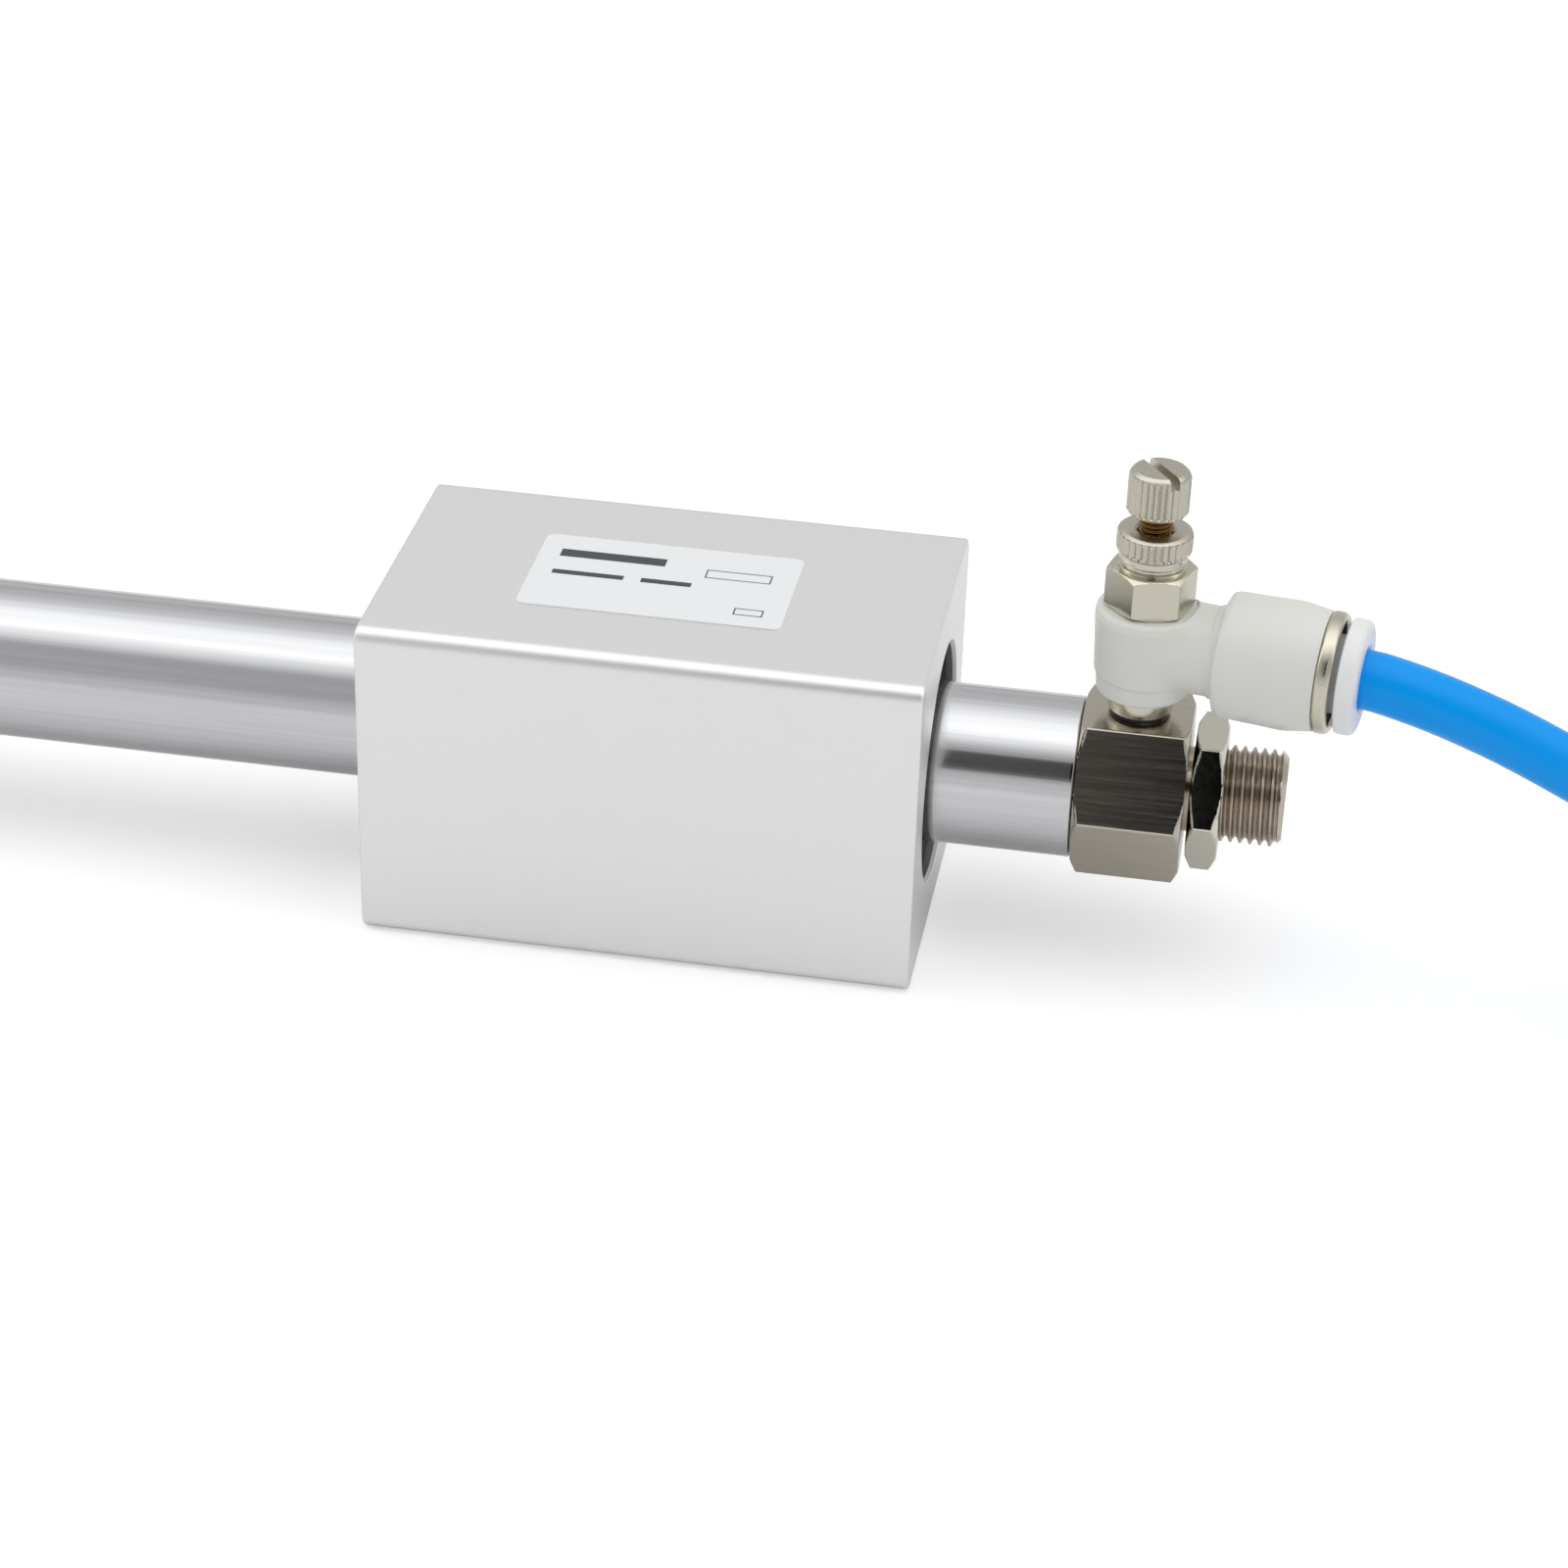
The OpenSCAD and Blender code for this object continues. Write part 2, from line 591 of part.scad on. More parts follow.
// The moulded elbow: an upright boss on the stem and an arm that swells into the hose socket.
module elbow_body() color(resin) difference() {
    union() {
        at_port() translate([0, 0, boss_z]) rotate_extrude() polygon([
            [0, 0], [boss_d / 2 - 0.9, 0], [boss_d / 2 - 0.6, 0.25], [boss_d / 2 - 0.5, 1.5],
            [boss_d / 2 - 0.3, 1.7], [boss_d / 2, boss_h - 1], [boss_d / 2 - 0.15, boss_h - 0.35],
            [boss_d / 2 - 0.5, boss_h], [0, boss_h]]);
        at_arm() rotate_extrude() polygon([
            [0, 0], [neck_r, 0], [neck_r, neck_step_s], [neck_step_r, neck_step_s + 0.2],
            [neck_step_r, collar_start - 0.1], [collar_r0 - 0.7, collar_start],
            [collar_r0 - 0.2, collar_start + 0.2], [collar_r0, collar_start + 0.7],
            [collar_r1, collar_end - taper_len - 0.5], [collar_r1 - 0.05, collar_end - taper_len + 0.2],
            [collar_r2, collar_end], [0, collar_end]]);
    }
    // Seat for the stem's hexagon, cut level through the root of the arm.
    at_port() translate([0, 0, hex_z]) cylinder(r = hex_corner_r + 0.3, h = hex_h);
    at_port() translate([0, 0, boss_z - cut]) cylinder(r = stem_r + run_fit, h = boss_h + 2 * cut);
    at_port() translate([0, 0, arm_z - 1.05]) cylinder(r = stem_r + 0.8, h = 2.1);
    // Air way, hose socket, seal room and the room for the collet and its guide ring.
    at_arm() translate([0, 0, stem_r]) cylinder(r = cavity_r + 0.1, h = hose_stop - stem_r + cut);
    at_arm() translate([0, 0, hose_stop]) cylinder(r = hose_hole_r, h = collar_len);
    at_arm() translate([0, 0, seal_s]) cylinder(r = chamber_r - 0.3, h = seal_room + cut);
    at_arm() translate([0, 0, chamber_s]) cylinder(r = chamber_r, h = collar_len);
}

module tube_seal() color(rubber) at_arm() translate([0, 0, seal_s + 0.1])
    oring(seal_room - 0.2, hose_r, chamber_r - 0.3);

// The collet's fingers are cut from a thin ring and bite the hose when it is pulled.
module collet() color(steel) at_arm() translate([0, 0, chamber_s + 0.1]) difference() {
    rotate_extrude() polygon([
        [hose_r + 0.3, 0], [guide_ri - run_fit, 0], [guide_ri - run_fit, 0.5],
        [hose_r + 0.55, collet_len], [hose_r + seat_fit, collet_len], [hose_r + seat_fit, collet_len - 0.3],
        [hose_r + 0.3, 0.7]]);
    for (i = [0:collet_slots - 1]) rotate([0, 0, i * 360 / collet_slots])
        translate([0, -collet_slot / 2, 0.6]) cube([2 * chamber_r, collet_slot, collet_len]);
}

// The guide ring is pressed into the collar. Its rim is the bright band before the button.
module guide_ring() color(nickel) at_arm() rotate_extrude() polygon([
    [guide_ri, chamber_s + 0.1], [chamber_r - seat_fit, chamber_s + 0.1],
    [chamber_r - seat_fit, collar_end], [ring_r - 0.25, collar_end], [ring_r, collar_end + 0.25],
    [ring_r, ring_end - 0.6], [ring_r - 0.15, ring_end - 0.2], [ring_r - 0.5, ring_end],
    [guide_ri, ring_end]]);

// The release button: a tube that opens the collet, and the flange that a finger presses.
module release_button() color(resin) at_arm() rotate_extrude() polygon([
    [hose_hole_r, shank_s], [shank_ro - 0.3, shank_s], [shank_ro, shank_s + 0.3], [shank_ro, button_s],
    [button_r - 0.2, button_s], [button_r, button_s + 0.2], [button_r, button_end - 0.7],
    [button_r - 0.2, button_end - 0.2], [button_r - 0.7, button_end], [hose_hole_r + 0.2, button_end],
    [hose_hole_r, button_end - 0.2]]);

// Needle valve -------------------------------------------------------------------------------------

module needle() color(brass) at_port() rotate_extrude() polygon([
    [0, seat_z + 1.5 - needle_tip_len], [needle_tip_r, seat_z + 1.5 - needle_tip_len],
    [needle_rod_r, seat_z + 1.5], [needle_rod_r, needle_oring_z - 0.4],
    [needle_shank_r, needle_oring_z - 0.4], [needle_shank_r, needle_oring_z],
    [needle_oring_ri, needle_oring_z], [needle_oring_ri, needle_oring_z + needle_oring_w],
    [needle_shank_r, needle_oring_z + needle_oring_w], [needle_shank_r, needle_thread_z],
    [needle_thread_r, needle_thread_z + 0.3], [needle_thread_r, knob_z + knob_grip - seat_fit],
    [0, knob_z + knob_grip - seat_fit]]);

module needle_oring() color(rubber) at_port() translate([0, 0, needle_oring_z + 0.05])
    oring(needle_oring_w - 0.1, needle_oring_ri, cavity_r);

module needle_knob() color(nickel) at_port() difference() {
    rotate_extrude() polygon([
        [0, knob_z], [knob_d / 2 - edge, knob_z], [knob_d / 2, knob_z + edge],
        [knob_d / 2, knob_top_z - 0.6], [knob_d / 2 - 0.55, knob_top_z], [0, knob_top_z]]);
    translate([0, 0, knob_z - cut]) cylinder(r = needle_thread_r + seat_fit, h = knob_grip + cut);
    // Screwdriver slot.
    rotate([0, 0, -55]) translate([-knob_d, -0.5, knob_top_z - 1.1]) cube([2 * knob_d, 1, 3]);
}

module lock_nut() color(nickel) at_port() translate([0, 0, lock_z]) difference() {
    rotate_extrude() polygon([
        [0, 0], [lock_nut_d / 2 - 0.3, 0], [lock_nut_d / 2, 0.3], [lock_nut_d / 2, lock_nut_t - 0.4],
        [lock_nut_d / 2 - 0.4, lock_nut_t], [0, lock_nut_t]]);
    translate([0, 0, -cut]) cylinder(r = thread_r, h = lock_nut_t + 2 * cut);
    translate([0, 0, lock_nut_t - 0.3]) cylinder(r1 = thread_r, r2 = thread_r + 0.3 + cut, h = 0.3 + cut);
}

// Hose ---------------------------------------------------------------------------------------------

// The hose inside its socket, then the free route.
hose_points = concat(
    [for (s = [hose_stop + 0.1, seal_s, chamber_s + 3, button_end - 2]) [s, 0, arm_z]],
    [for (p = route) p + route_shift]);

function unit(v) = v / norm(v);

function heading(p, i) = unit(p[min(i + 1, len(p) - 1)] - p[max(i - 1, 0)]);

// One ring of points about point i of a route, square to the route.
function hose_ring(p, i, r) =
    let (ahead = heading(p, i), side = unit(cross([0, 0, 1], ahead)), up = cross(ahead, side))
    [for (k = [0:hose_sides - 1]) let (a = 360 * k / hose_sides) p[i] + r * (cos(a) * up + sin(a) * side)];

module swept_tube(p, r) {
    rings = len(p);
    points = [for (i = [0:rings - 1]) each hose_ring(p, i, r)];
    sides = [for (i = [0:rings - 2], k = [0:hose_sides - 1])
        let (n = (k + 1) % hose_sides, a = i * hose_sides, b = a + hose_sides)
        [a + k, a + n, b + n, b + k]];
    start = [for (k = [hose_sides - 1:-1:0]) k];
    finish = [for (k = [0:hose_sides - 1]) (rings - 1) * hose_sides + k];
    polyhedron(points, concat(sides, [start, finish]));
}

module along_arm() at_port() rotate([0, 0, -arm_yaw]) children();

module hose() color([0.02, 0.5, 0.9]) along_arm() swept_tube(hose_points, hose_r);

// From the landing, with X along the hank's front run and Y towards its back run.
module at_hank() along_arm() translate([landing[0], landing[1], floor_z]) rotate([0, 0, hank_turn]) children();

// Outline of a turn of the hank, with round ends.
module turn_outline(r) {
    translate([0, -r]) square([hank_run, 2 * r]);
    for (x = [0, hank_run]) translate([x, 0]) circle(r = r);
}

// Section of the front run's bundle, with round corners, shrunk by a margin.
module bundle_section(margin) translate([hank_across * hose_r - hose_r, hank_h / 2]) {
    half = [hank_across, hank_layers] * hose_r - [margin, margin];
    corner = hose_r - margin;
    square([2 * half[0], 2 * (half[1] - corner)], center = true);
    square([2 * (half[0] - corner), 2 * half[1]], center = true);
    for (x = [-1, 1], y = [-1, 1]) translate([x * (half[0] - corner), y * (half[1] - corner)])
        circle(r = corner);
}

// The tie's strap, or the space for it with a negative outer margin.
module strap(inner, outer) translate([tie_x + tie_w / 2, 0, 0]) rotate([90, 0, -90]) mirror([1, 0, 0])
    linear_extrude(tie_w) difference() {
        bundle_section(outer);
        bundle_section(inner);
    }

module hose_coil() color([0.02, 0.5, 0.9]) at_hank() difference() {
    translate([-hank_lead, hank_r, 0]) linear_extrude(hank_h) difference() {
        turn_outline(hank_r + hose_r);
        turn_outline(fold_r - hose_r);
    }
    strap(tie_t + seat_fit, -cut);
}

module coil_tie() color([0.15, 0.15, 0.16]) at_hank() {
    strap(tie_t, 0);
    // Head of the tie, on the front of the bundle.
    translate([tie_x - tie_head / 2, (2 * hank_across - 1) * hose_r, hose_r + 1]) cube([tie_head, 3, 4]);
}

// --------------------------------------------------------------------------------------------------

cylinder_tube();
left_end_cover();
right_end_cover();
cover_orings();
bumpers();
left_mounting_nut();
right_mounting_nut();
piston_shaft();
left_piston_head();
right_piston_head();
left_piston_seal();
right_piston_seal();
left_wear_ring();
right_wear_ring();
for (i = [1:magnet_count]) inner_magnet(i);
for (i = [1:magnet_count + 1]) inner_yoke(i);
carriage_block();
carriage_label();
magnet_sleeve();
for (i = [1:magnet_count]) outer_magnet(i);
for (i = [1:magnet_count + 1]) outer_yoke(i);
left_wear_bush();
right_wear_bush();
felt_rings();
left_spacer_washer();
right_spacer_washer();
left_retaining_ring();
right_retaining_ring();
valve_stem();
port_gasket();
stem_orings();
check_seal();
elbow_body();
guide_ring();
collet();
tube_seal();
release_button();
hose();
hose_coil();
coil_tie();
needle();
needle_oring();
needle_knob();
lock_nut();
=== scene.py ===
import math
from functools import partial

import bmesh
import bpy
import numpy as np
from mathutils import Matrix, Vector


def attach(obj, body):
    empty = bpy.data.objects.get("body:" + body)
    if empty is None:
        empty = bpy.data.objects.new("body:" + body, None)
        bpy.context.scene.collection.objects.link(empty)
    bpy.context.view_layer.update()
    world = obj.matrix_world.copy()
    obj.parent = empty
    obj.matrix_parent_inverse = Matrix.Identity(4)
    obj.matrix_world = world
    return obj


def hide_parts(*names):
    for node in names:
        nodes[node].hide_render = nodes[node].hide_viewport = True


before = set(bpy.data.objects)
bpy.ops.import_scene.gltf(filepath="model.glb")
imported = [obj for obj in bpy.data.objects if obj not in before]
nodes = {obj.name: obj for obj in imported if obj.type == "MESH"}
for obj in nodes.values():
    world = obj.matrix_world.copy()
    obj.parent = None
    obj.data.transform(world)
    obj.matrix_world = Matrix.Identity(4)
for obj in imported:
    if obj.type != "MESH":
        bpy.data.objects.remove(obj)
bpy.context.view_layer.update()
scene = bpy.context.scene
mm = 0.001

# Camera -------------------------------------------------------
# A long lens looks down on the right half of the cylinder from its front. The carriage fills the
# middle and the hose runs out of the right edge, so the coil of spare hose lies out of sight.

camera_place = Vector((393.2, -337.14, 195.91)) * mm
camera_turn = math.radians(8.735)
camera_dip = math.radians(30.48)
camera_roll = math.radians(1.969)

view_line = Vector((-math.sin(camera_turn) * math.cos(camera_dip),
                    math.cos(camera_turn) * math.cos(camera_dip), -math.sin(camera_dip)))
level_right = Vector((math.cos(camera_turn), math.sin(camera_turn), 0))
level_up = level_right.cross(view_line)
camera_right = math.cos(camera_roll) * level_right + math.sin(camera_roll) * level_up
camera_up = camera_right.cross(view_line)
camera = bpy.data.objects.new("camera", bpy.data.cameras.new("camera"))
camera.data.lens = 87.29
camera.data.sensor_width = 36
camera.data.clip_start = 0.01
camera.matrix_world = Matrix.Translation(camera_place) @ Matrix(
    (camera_right, camera_up, -view_line)).transposed().to_4x4()
scene.collection.objects.link(camera)
scene.camera = camera
scene.view_settings.view_transform = "Standard"

# Light and floor ----------------------------------------------
# A pale studio: brightest overhead, with a lower grey band behind and the floor in front. A dark card
# stands where the camera is, which polished faces that look at the camera show. A low pale card hides
# the spare hose from them.

floor_z = -17.5
floor_x = (-3000, 4000)
floor_y = (-3000, 3000)
floor_shade = (0.87, 0.87, 0.87, 1)
floor_fill = 0.35
card_distance = 430
card_width = (275, 474)
card_arc = (21, 48.5)
card_strips = 5
card_fade = (0.345, 0.376)
card_shade = (0.1, 0.002)
screen_x = 405
screen_y = (-45, 70)
screen_top = 6
screen_shade = 0.8
sky = [(-180, .34), (-149, .31), (-109, .435), (-92, .57), (-75, .65), (-61, .69), (-43, .79),
       (-29, .85), (3, .85), (11, .8), (20, .6), (27, .6), (51, .6), (58, .85), (66, 1.3),
       (73, 1.55), (80, 1.85), (88, 1.8), (94, 1.75), (104, 1.62), (113, 1.42), (120, 1.2),
       (130, .95), (141, .79), (154, .68), (171, .77), (180, .5)]
sky_top = 1.85


def node(tree, kind, **settings):
    """A shader or geometry node. in_0 or in_Scale fills that input, or links it to another socket."""
    new = tree.nodes.new(kind)
    for key, value in settings.items():
        if not key.startswith("in_"):
            setattr(new, key, value)
            continue
        socket = new.inputs[int(key[3:]) if key[3:].isdigit() else key[3:].replace("_", " ")]
        if isinstance(value, bpy.types.NodeSocket):
            tree.links.new(value, socket)
        else:
            socket.default_value = value
    return new


def bare_material(name):
    """A material with no nodes yet, and its tree."""
    material = bpy.data.materials.new(name)
    material.use_nodes = True
    material.node_tree.nodes.clear()
    return material, material.node_tree


world = bpy.data.worlds.new("studio")
scene.world = world
world.use_nodes = True
tree = world.node_tree
tree.nodes.clear()
parts = node(tree, "ShaderNodeSeparateXYZ", in_0=node(tree, "ShaderNodeTexCoord").outputs["Generated"])
towards = node(tree, "ShaderNodeMath", operation="MULTIPLY", in_0=parts.outputs["Y"], in_1=-1)
angle = node(tree, "ShaderNodeMath", operation="ARCTAN2", in_0=parts.outputs["Z"],
             in_1=towards.outputs[0])
share = node(tree, "ShaderNodeMapRange", in_0=angle.outputs[0], in_1=-math.pi, in_2=math.pi)
ramp = node(tree, "ShaderNodeValToRGB", in_0=share.outputs[0])
stops = ramp.color_ramp.elements
for degrees, value in sky[1:-1]:
    stops.new((degrees + 180) / 360)
for stop, (degrees, value) in zip(stops, sky):
    stop.color = (value / sky_top,) * 3 + (1,)
lift = node(tree, "ShaderNodeMath", operation="MULTIPLY", in_0=ramp.outputs[0], in_1=sky_top)
seen = node(tree, "ShaderNodeLightPath").outputs["Is Camera Ray"]
level = node(tree, "ShaderNodeMix", data_type="FLOAT", in_0=seen, in_2=lift.outputs[0], in_3=1)
background = node(tree, "ShaderNodeBackground", in_Strength=level.outputs[0])
node(tree, "ShaderNodeOutputWorld", in_0=background.outputs[0])


def mesh_of(name, points, faces):
    """A mesh from its points and faces."""
    mesh = bpy.data.meshes.new(name)
    mesh.from_pydata(points, [], faces)
    return mesh


def corners(across, up):
    """The four corners of a rectangle, in order."""
    return [(across[0], up[0]), (across[1], up[0]), (across[1], up[1]), (across[0], up[1])]


def stage_piece(name, points, faces, material):
    """A piece of the studio, which isn't part of the object."""
    mesh = mesh_of(name, [Vector(p) * mm for p in points], faces)
    mesh.materials.append(material)
    piece = bpy.data.objects.new(name, mesh)
    scene.collection.objects.link(piece)
    return piece


floor_material, tree = bare_material("floor")
matt = node(tree, "ShaderNodeBsdfDiffuse", in_Color=floor_shade)
seen = node(tree, "ShaderNodeLightPath").outputs["Is Camera Ray"]
fill = node(tree, "ShaderNodeMath", operation="MULTIPLY", in_0=seen, in_1=floor_fill)
glow = node(tree, "ShaderNodeEmission", in_Strength=fill.outputs[0])
both = node(tree, "ShaderNodeAddShader", in_0=matt.outputs[0], in_1=glow.outputs[0])
node(tree, "ShaderNodeOutputMaterial", in_0=both.outputs[0])
stage_piece("floor", [(x, y, floor_z) for x, y in corners(floor_x, floor_y)], [(0, 1, 2, 3)],
            floor_material)

card_material, tree = bare_material("card")
parts = node(tree, "ShaderNodeSeparateXYZ", in_0=node(tree, "ShaderNodeTexCoord").outputs["Object"])
shade = node(tree, "ShaderNodeMapRange", in_0=parts.outputs["X"], in_1=card_fade[0], in_2=card_fade[1],
             in_3=card_shade[0], in_4=card_shade[1])
dark = node(tree, "ShaderNodeEmission", in_Strength=shade.outputs[0])
node(tree, "ShaderNodeOutputMaterial", in_0=dark.outputs[0])
card_edge = [(x, -card_distance * math.cos(math.radians(a)), card_distance * math.sin(math.radians(a)))
             for a in np.linspace(*card_arc, card_strips + 1) for x in card_width]
card = stage_piece("card", card_edge, [(2 * i, 2 * i + 1, 2 * i + 3, 2 * i + 2)
                                       for i in range(card_strips)], card_material)
screen_material, tree = bare_material("pale_card")
pale = node(tree, "ShaderNodeEmission", in_Strength=screen_shade)
node(tree, "ShaderNodeOutputMaterial", in_0=pale.outputs[0])
screen = stage_piece("screen", [(screen_x, y, z) for y, z in corners(screen_y, (floor_z, screen_top))],
                     [(0, 1, 2, 3)], screen_material)
for flat_card in (card, screen):
    flat_card.visible_camera = flat_card.visible_diffuse = flat_card.visible_shadow = False
    flat_card.visible_transmission = flat_card.visible_volume_scatter = False

# Cylinder tube ------------------------------------------------
# Thin stainless tube, drawn bright, with faint lengthwise lines. Both ends are eased, so that they
# slip over the end covers' spigots.

cover_len = 11.0
body_len = 383.0
tube_r = 8.3
bore_r = 7.5
tube_len = body_len - 2 * cover_len
tube_ease = 0.45
finishes = {}

marks = bpy.data.node_groups.new("fine_marks", "ShaderNodeTree")
for name, way, kind in [("Scale", "INPUT", "Vector"), ("Detail", "INPUT", "Float"),
                        ("Depth", "INPUT", "Float"), ("Value", "OUTPUT", "Float"),
                        ("Normal", "OUTPUT", "Vector")]:
    marks.interface.new_socket(name, in_out=way, socket_type="NodeSocket" + kind)
given = node(marks, "NodeGroupInput").outputs
stretch = node(marks, "ShaderNodeVectorMath", operation="MULTIPLY", in_1=given["Scale"],
               in_0=node(marks, "ShaderNodeTexCoord").outputs["Object"])
noise = node(marks, "ShaderNodeTexNoise", in_Vector=stretch.outputs[0], in_Scale=1,
             in_Detail=given["Detail"])
bump = node(marks, "ShaderNodeBump", in_Strength=1, in_Distance=given["Depth"],
            in_Height=noise.outputs["Fac"])
node(marks, "NodeGroupOutput", in_Value=noise.outputs["Fac"], in_Normal=bump.outputs[0])


def finish(name, colour, metallic, roughness, per_mm, depth_um, vary=0.1, detail=3, streak=0,
           **shader_inputs):
    """A material with fine marks: noise drawn out by per_mm, how fine it is along X, Y and Z, bumps
    the surface, varies its roughness, and by streak its linear colour."""
    material, tree = bare_material(name)
    fine = node(tree, "ShaderNodeGroup", node_tree=marks, in_Scale=[1000 * s for s in per_mm],
                in_Detail=detail, in_Depth=depth_um * 1e-6).outputs
    spread = node(tree, "ShaderNodeMapRange", in_0=fine["Value"], in_1=0.25, in_2=0.75,
                  in_3=roughness - vary, in_4=roughness + vary)
    shader = node(tree, "ShaderNodeBsdfPrincipled", in_Base_Color=(*colour, 1), in_Metallic=metallic,
                  in_Roughness=spread.outputs[0], in_Normal=fine["Normal"], **shader_inputs)
    if streak:
        tone = node(tree, "ShaderNodeMapRange", in_0=fine["Value"], in_1=0.3, in_2=0.7,
                    in_3=1 - streak, in_4=1 + streak)
        tinted = node(tree, "ShaderNodeVectorMath", operation="SCALE", in_0=colour,
                      in_Scale=tone.outputs[0])
        tree.links.new(tinted.outputs[0], shader.inputs["Base Color"])
    node(tree, "ShaderNodeOutputMaterial", in_0=shader.outputs[0])
    material.diffuse_color = (*colour, 1)
    finishes[name] = material


def rounded(profile, r):
    """A profile of (radius, height) with its inner corners eased, so that edges catch the light."""
    eased = [profile[0]]
    for a, b, c in zip(profile, profile[1:], profile[2:]):
        a, b, c = Vector(a), Vector(b), Vector(c)
        back, on = a - b, c - b
        if back.length < 1e-6 or on.length < 1e-6:
            eased.append(tuple(b))
            continue
        cut = min(r, 0.4 * back.length, 0.4 * on.length)
        start, end = b + cut * back.normalized(), b + cut * on.normalized()
        eased += [tuple((1 - t) ** 2 * start + 2 * t * (1 - t) * b + t * t * end) for t in (0, .33, .67, 1)]
    return [*eased, profile[-1]]


def outward(mesh, bridged=False):
    """Merges doubled points and turns every face outwards; bridged first joins two open ends."""
    bm = bmesh.new()
    bm.from_mesh(mesh)
    if bridged:
        bmesh.ops.bridge_loops(bm, edges=[e for e in bm.edges if e.is_boundary])
    bmesh.ops.remove_doubles(bm, verts=bm.verts, dist=5e-4)
    bmesh.ops.dissolve_degenerate(bm, edges=bm.edges, dist=1e-5)
    bmesh.ops.recalc_face_normals(bm, faces=bm.faces)
    bm.to_mesh(mesh)
    bm.free()
    return mesh


def lofted(name, rings, bored=False):
    """A closed mesh through rings of points: bored joins the last to the first, else each end closes."""
    rings = np.array(rings)
    count, sides = rings.shape[:2]
    verts = [tuple(p) for ring in rings for p in ring]
    faces = [(i * sides + k, i * sides + n, j * sides + n, j * sides + k)
             for i in range(count if bored else count - 1) for j in [(i + 1) % count]
             for k in range(sides) for n in [(k + 1) % sides]]
    if not bored:
        for i in (0, count - 1):
            verts.append(tuple(rings[i].mean(axis=0)))
            faces += [(i * sides + k, i * sides + (k + 1) % sides, len(verts) - 1) for k in range(sides)]
    return outward(mesh_of(name, verts, faces))


def ring_of(radii, turns, height):
    """A ring of points at a height."""
    return np.stack([radii * np.cos(turns), radii * np.sin(turns), np.full(len(turns), height)], axis=1)


def turned(name, profile, sides=128, bored=False, outline=1e6, turns=None):
    """A turned piece round Z. outline, over the same turns, is how far its bar's flats reach."""
    if turns is None:
        turns = np.arange(sides) * math.tau / sides
    return lofted(name, [ring_of(np.minimum(max(r, 1e-4), outline), turns, height)
                         for r, height in profile], bored)


def moved(mesh, *matrices):
    """A copy of a mesh after the matrices, the first one last."""
    copy = mesh.copy()
    for matrix in reversed(matrices):
        copy.transform(matrix)
    if math.prod([m.determinant() for m in matrices]) < 0:
        copy.flip_normals()
    return copy


def place(name, mesh, body, slot, *stands_for, sharp=32, look=None, smooth=True):
    """Puts a finished mesh of millimetres in the scene as a piece of a body."""
    mesh.transform(Matrix.Scale(mm, 4))
    mesh.materials.clear()
    mesh.materials.append(finishes[look or slot])
    for face in mesh.polygons:
        face.material_index = 0
    if smooth:
        mesh.shade_smooth()
        mesh.set_sharp_from_angle(angle=math.radians(sharp))
    piece = bpy.data.objects.new(name, mesh)
    scene.collection.objects.link(piece)
    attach(piece, body)
    if stands_for:
        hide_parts(*stands_for)
    return piece


def along_x(x):
    """Turns a piece's own axis from Z to X and starts it at x."""
    return Matrix.Translation((x, 0, 0)) @ Matrix(((0, 0, 1, 0), (1, 0, 0, 0), (0, 1, 0, 0), (0, 0, 0, 1)))


finish("tube_steel", (.675, .68, .695), 1, .12, (.015, 1.8, 1.8), 8, .03, 4, .06)
tube = turned("tube", rounded([
    (tube_r - tube_ease, 0), (tube_r, 0.25), (tube_r, 0.7), (tube_r, tube_len - 0.7),
    (tube_r, tube_len - 0.25), (tube_r - tube_ease, tube_len), (bore_r, tube_len), (bore_r, 0)], 0.08),
    256, bored=True)
place("cylinder_tube_steel", moved(tube, along_x(cover_len)), "cylinder", "tube_steel", "cylinder_tube")

# End covers ---------------------------------------------------
# Hexagon bar of nickel-plated brass with a threaded nose, a tapped port on its upper flat, and a
# spigot into the tube. Both ends are one shape: the right one is the left one turned half round.

cover_flat = 8.5
nose_len = 10.0
nose_r = 5.0
relief_len = 0.4
spigot_len = 6.0
spigot_r = 7.45
port_in = 5.5
port_x = body_len - port_in
rows_a_turn = 8
finish("nickel_plate", (.57, .52, .45), 1, .15, (2, 2, 2), .8, .05)
finish("nickel_milled", (.565, .525, .445), 1, .15, (.1, 3.2, 3.2), 17, .05, 4, .05)
finish("nickel_thread", (.46, .4, .33), 1, .2, (3, 3, 3), 1, .05)


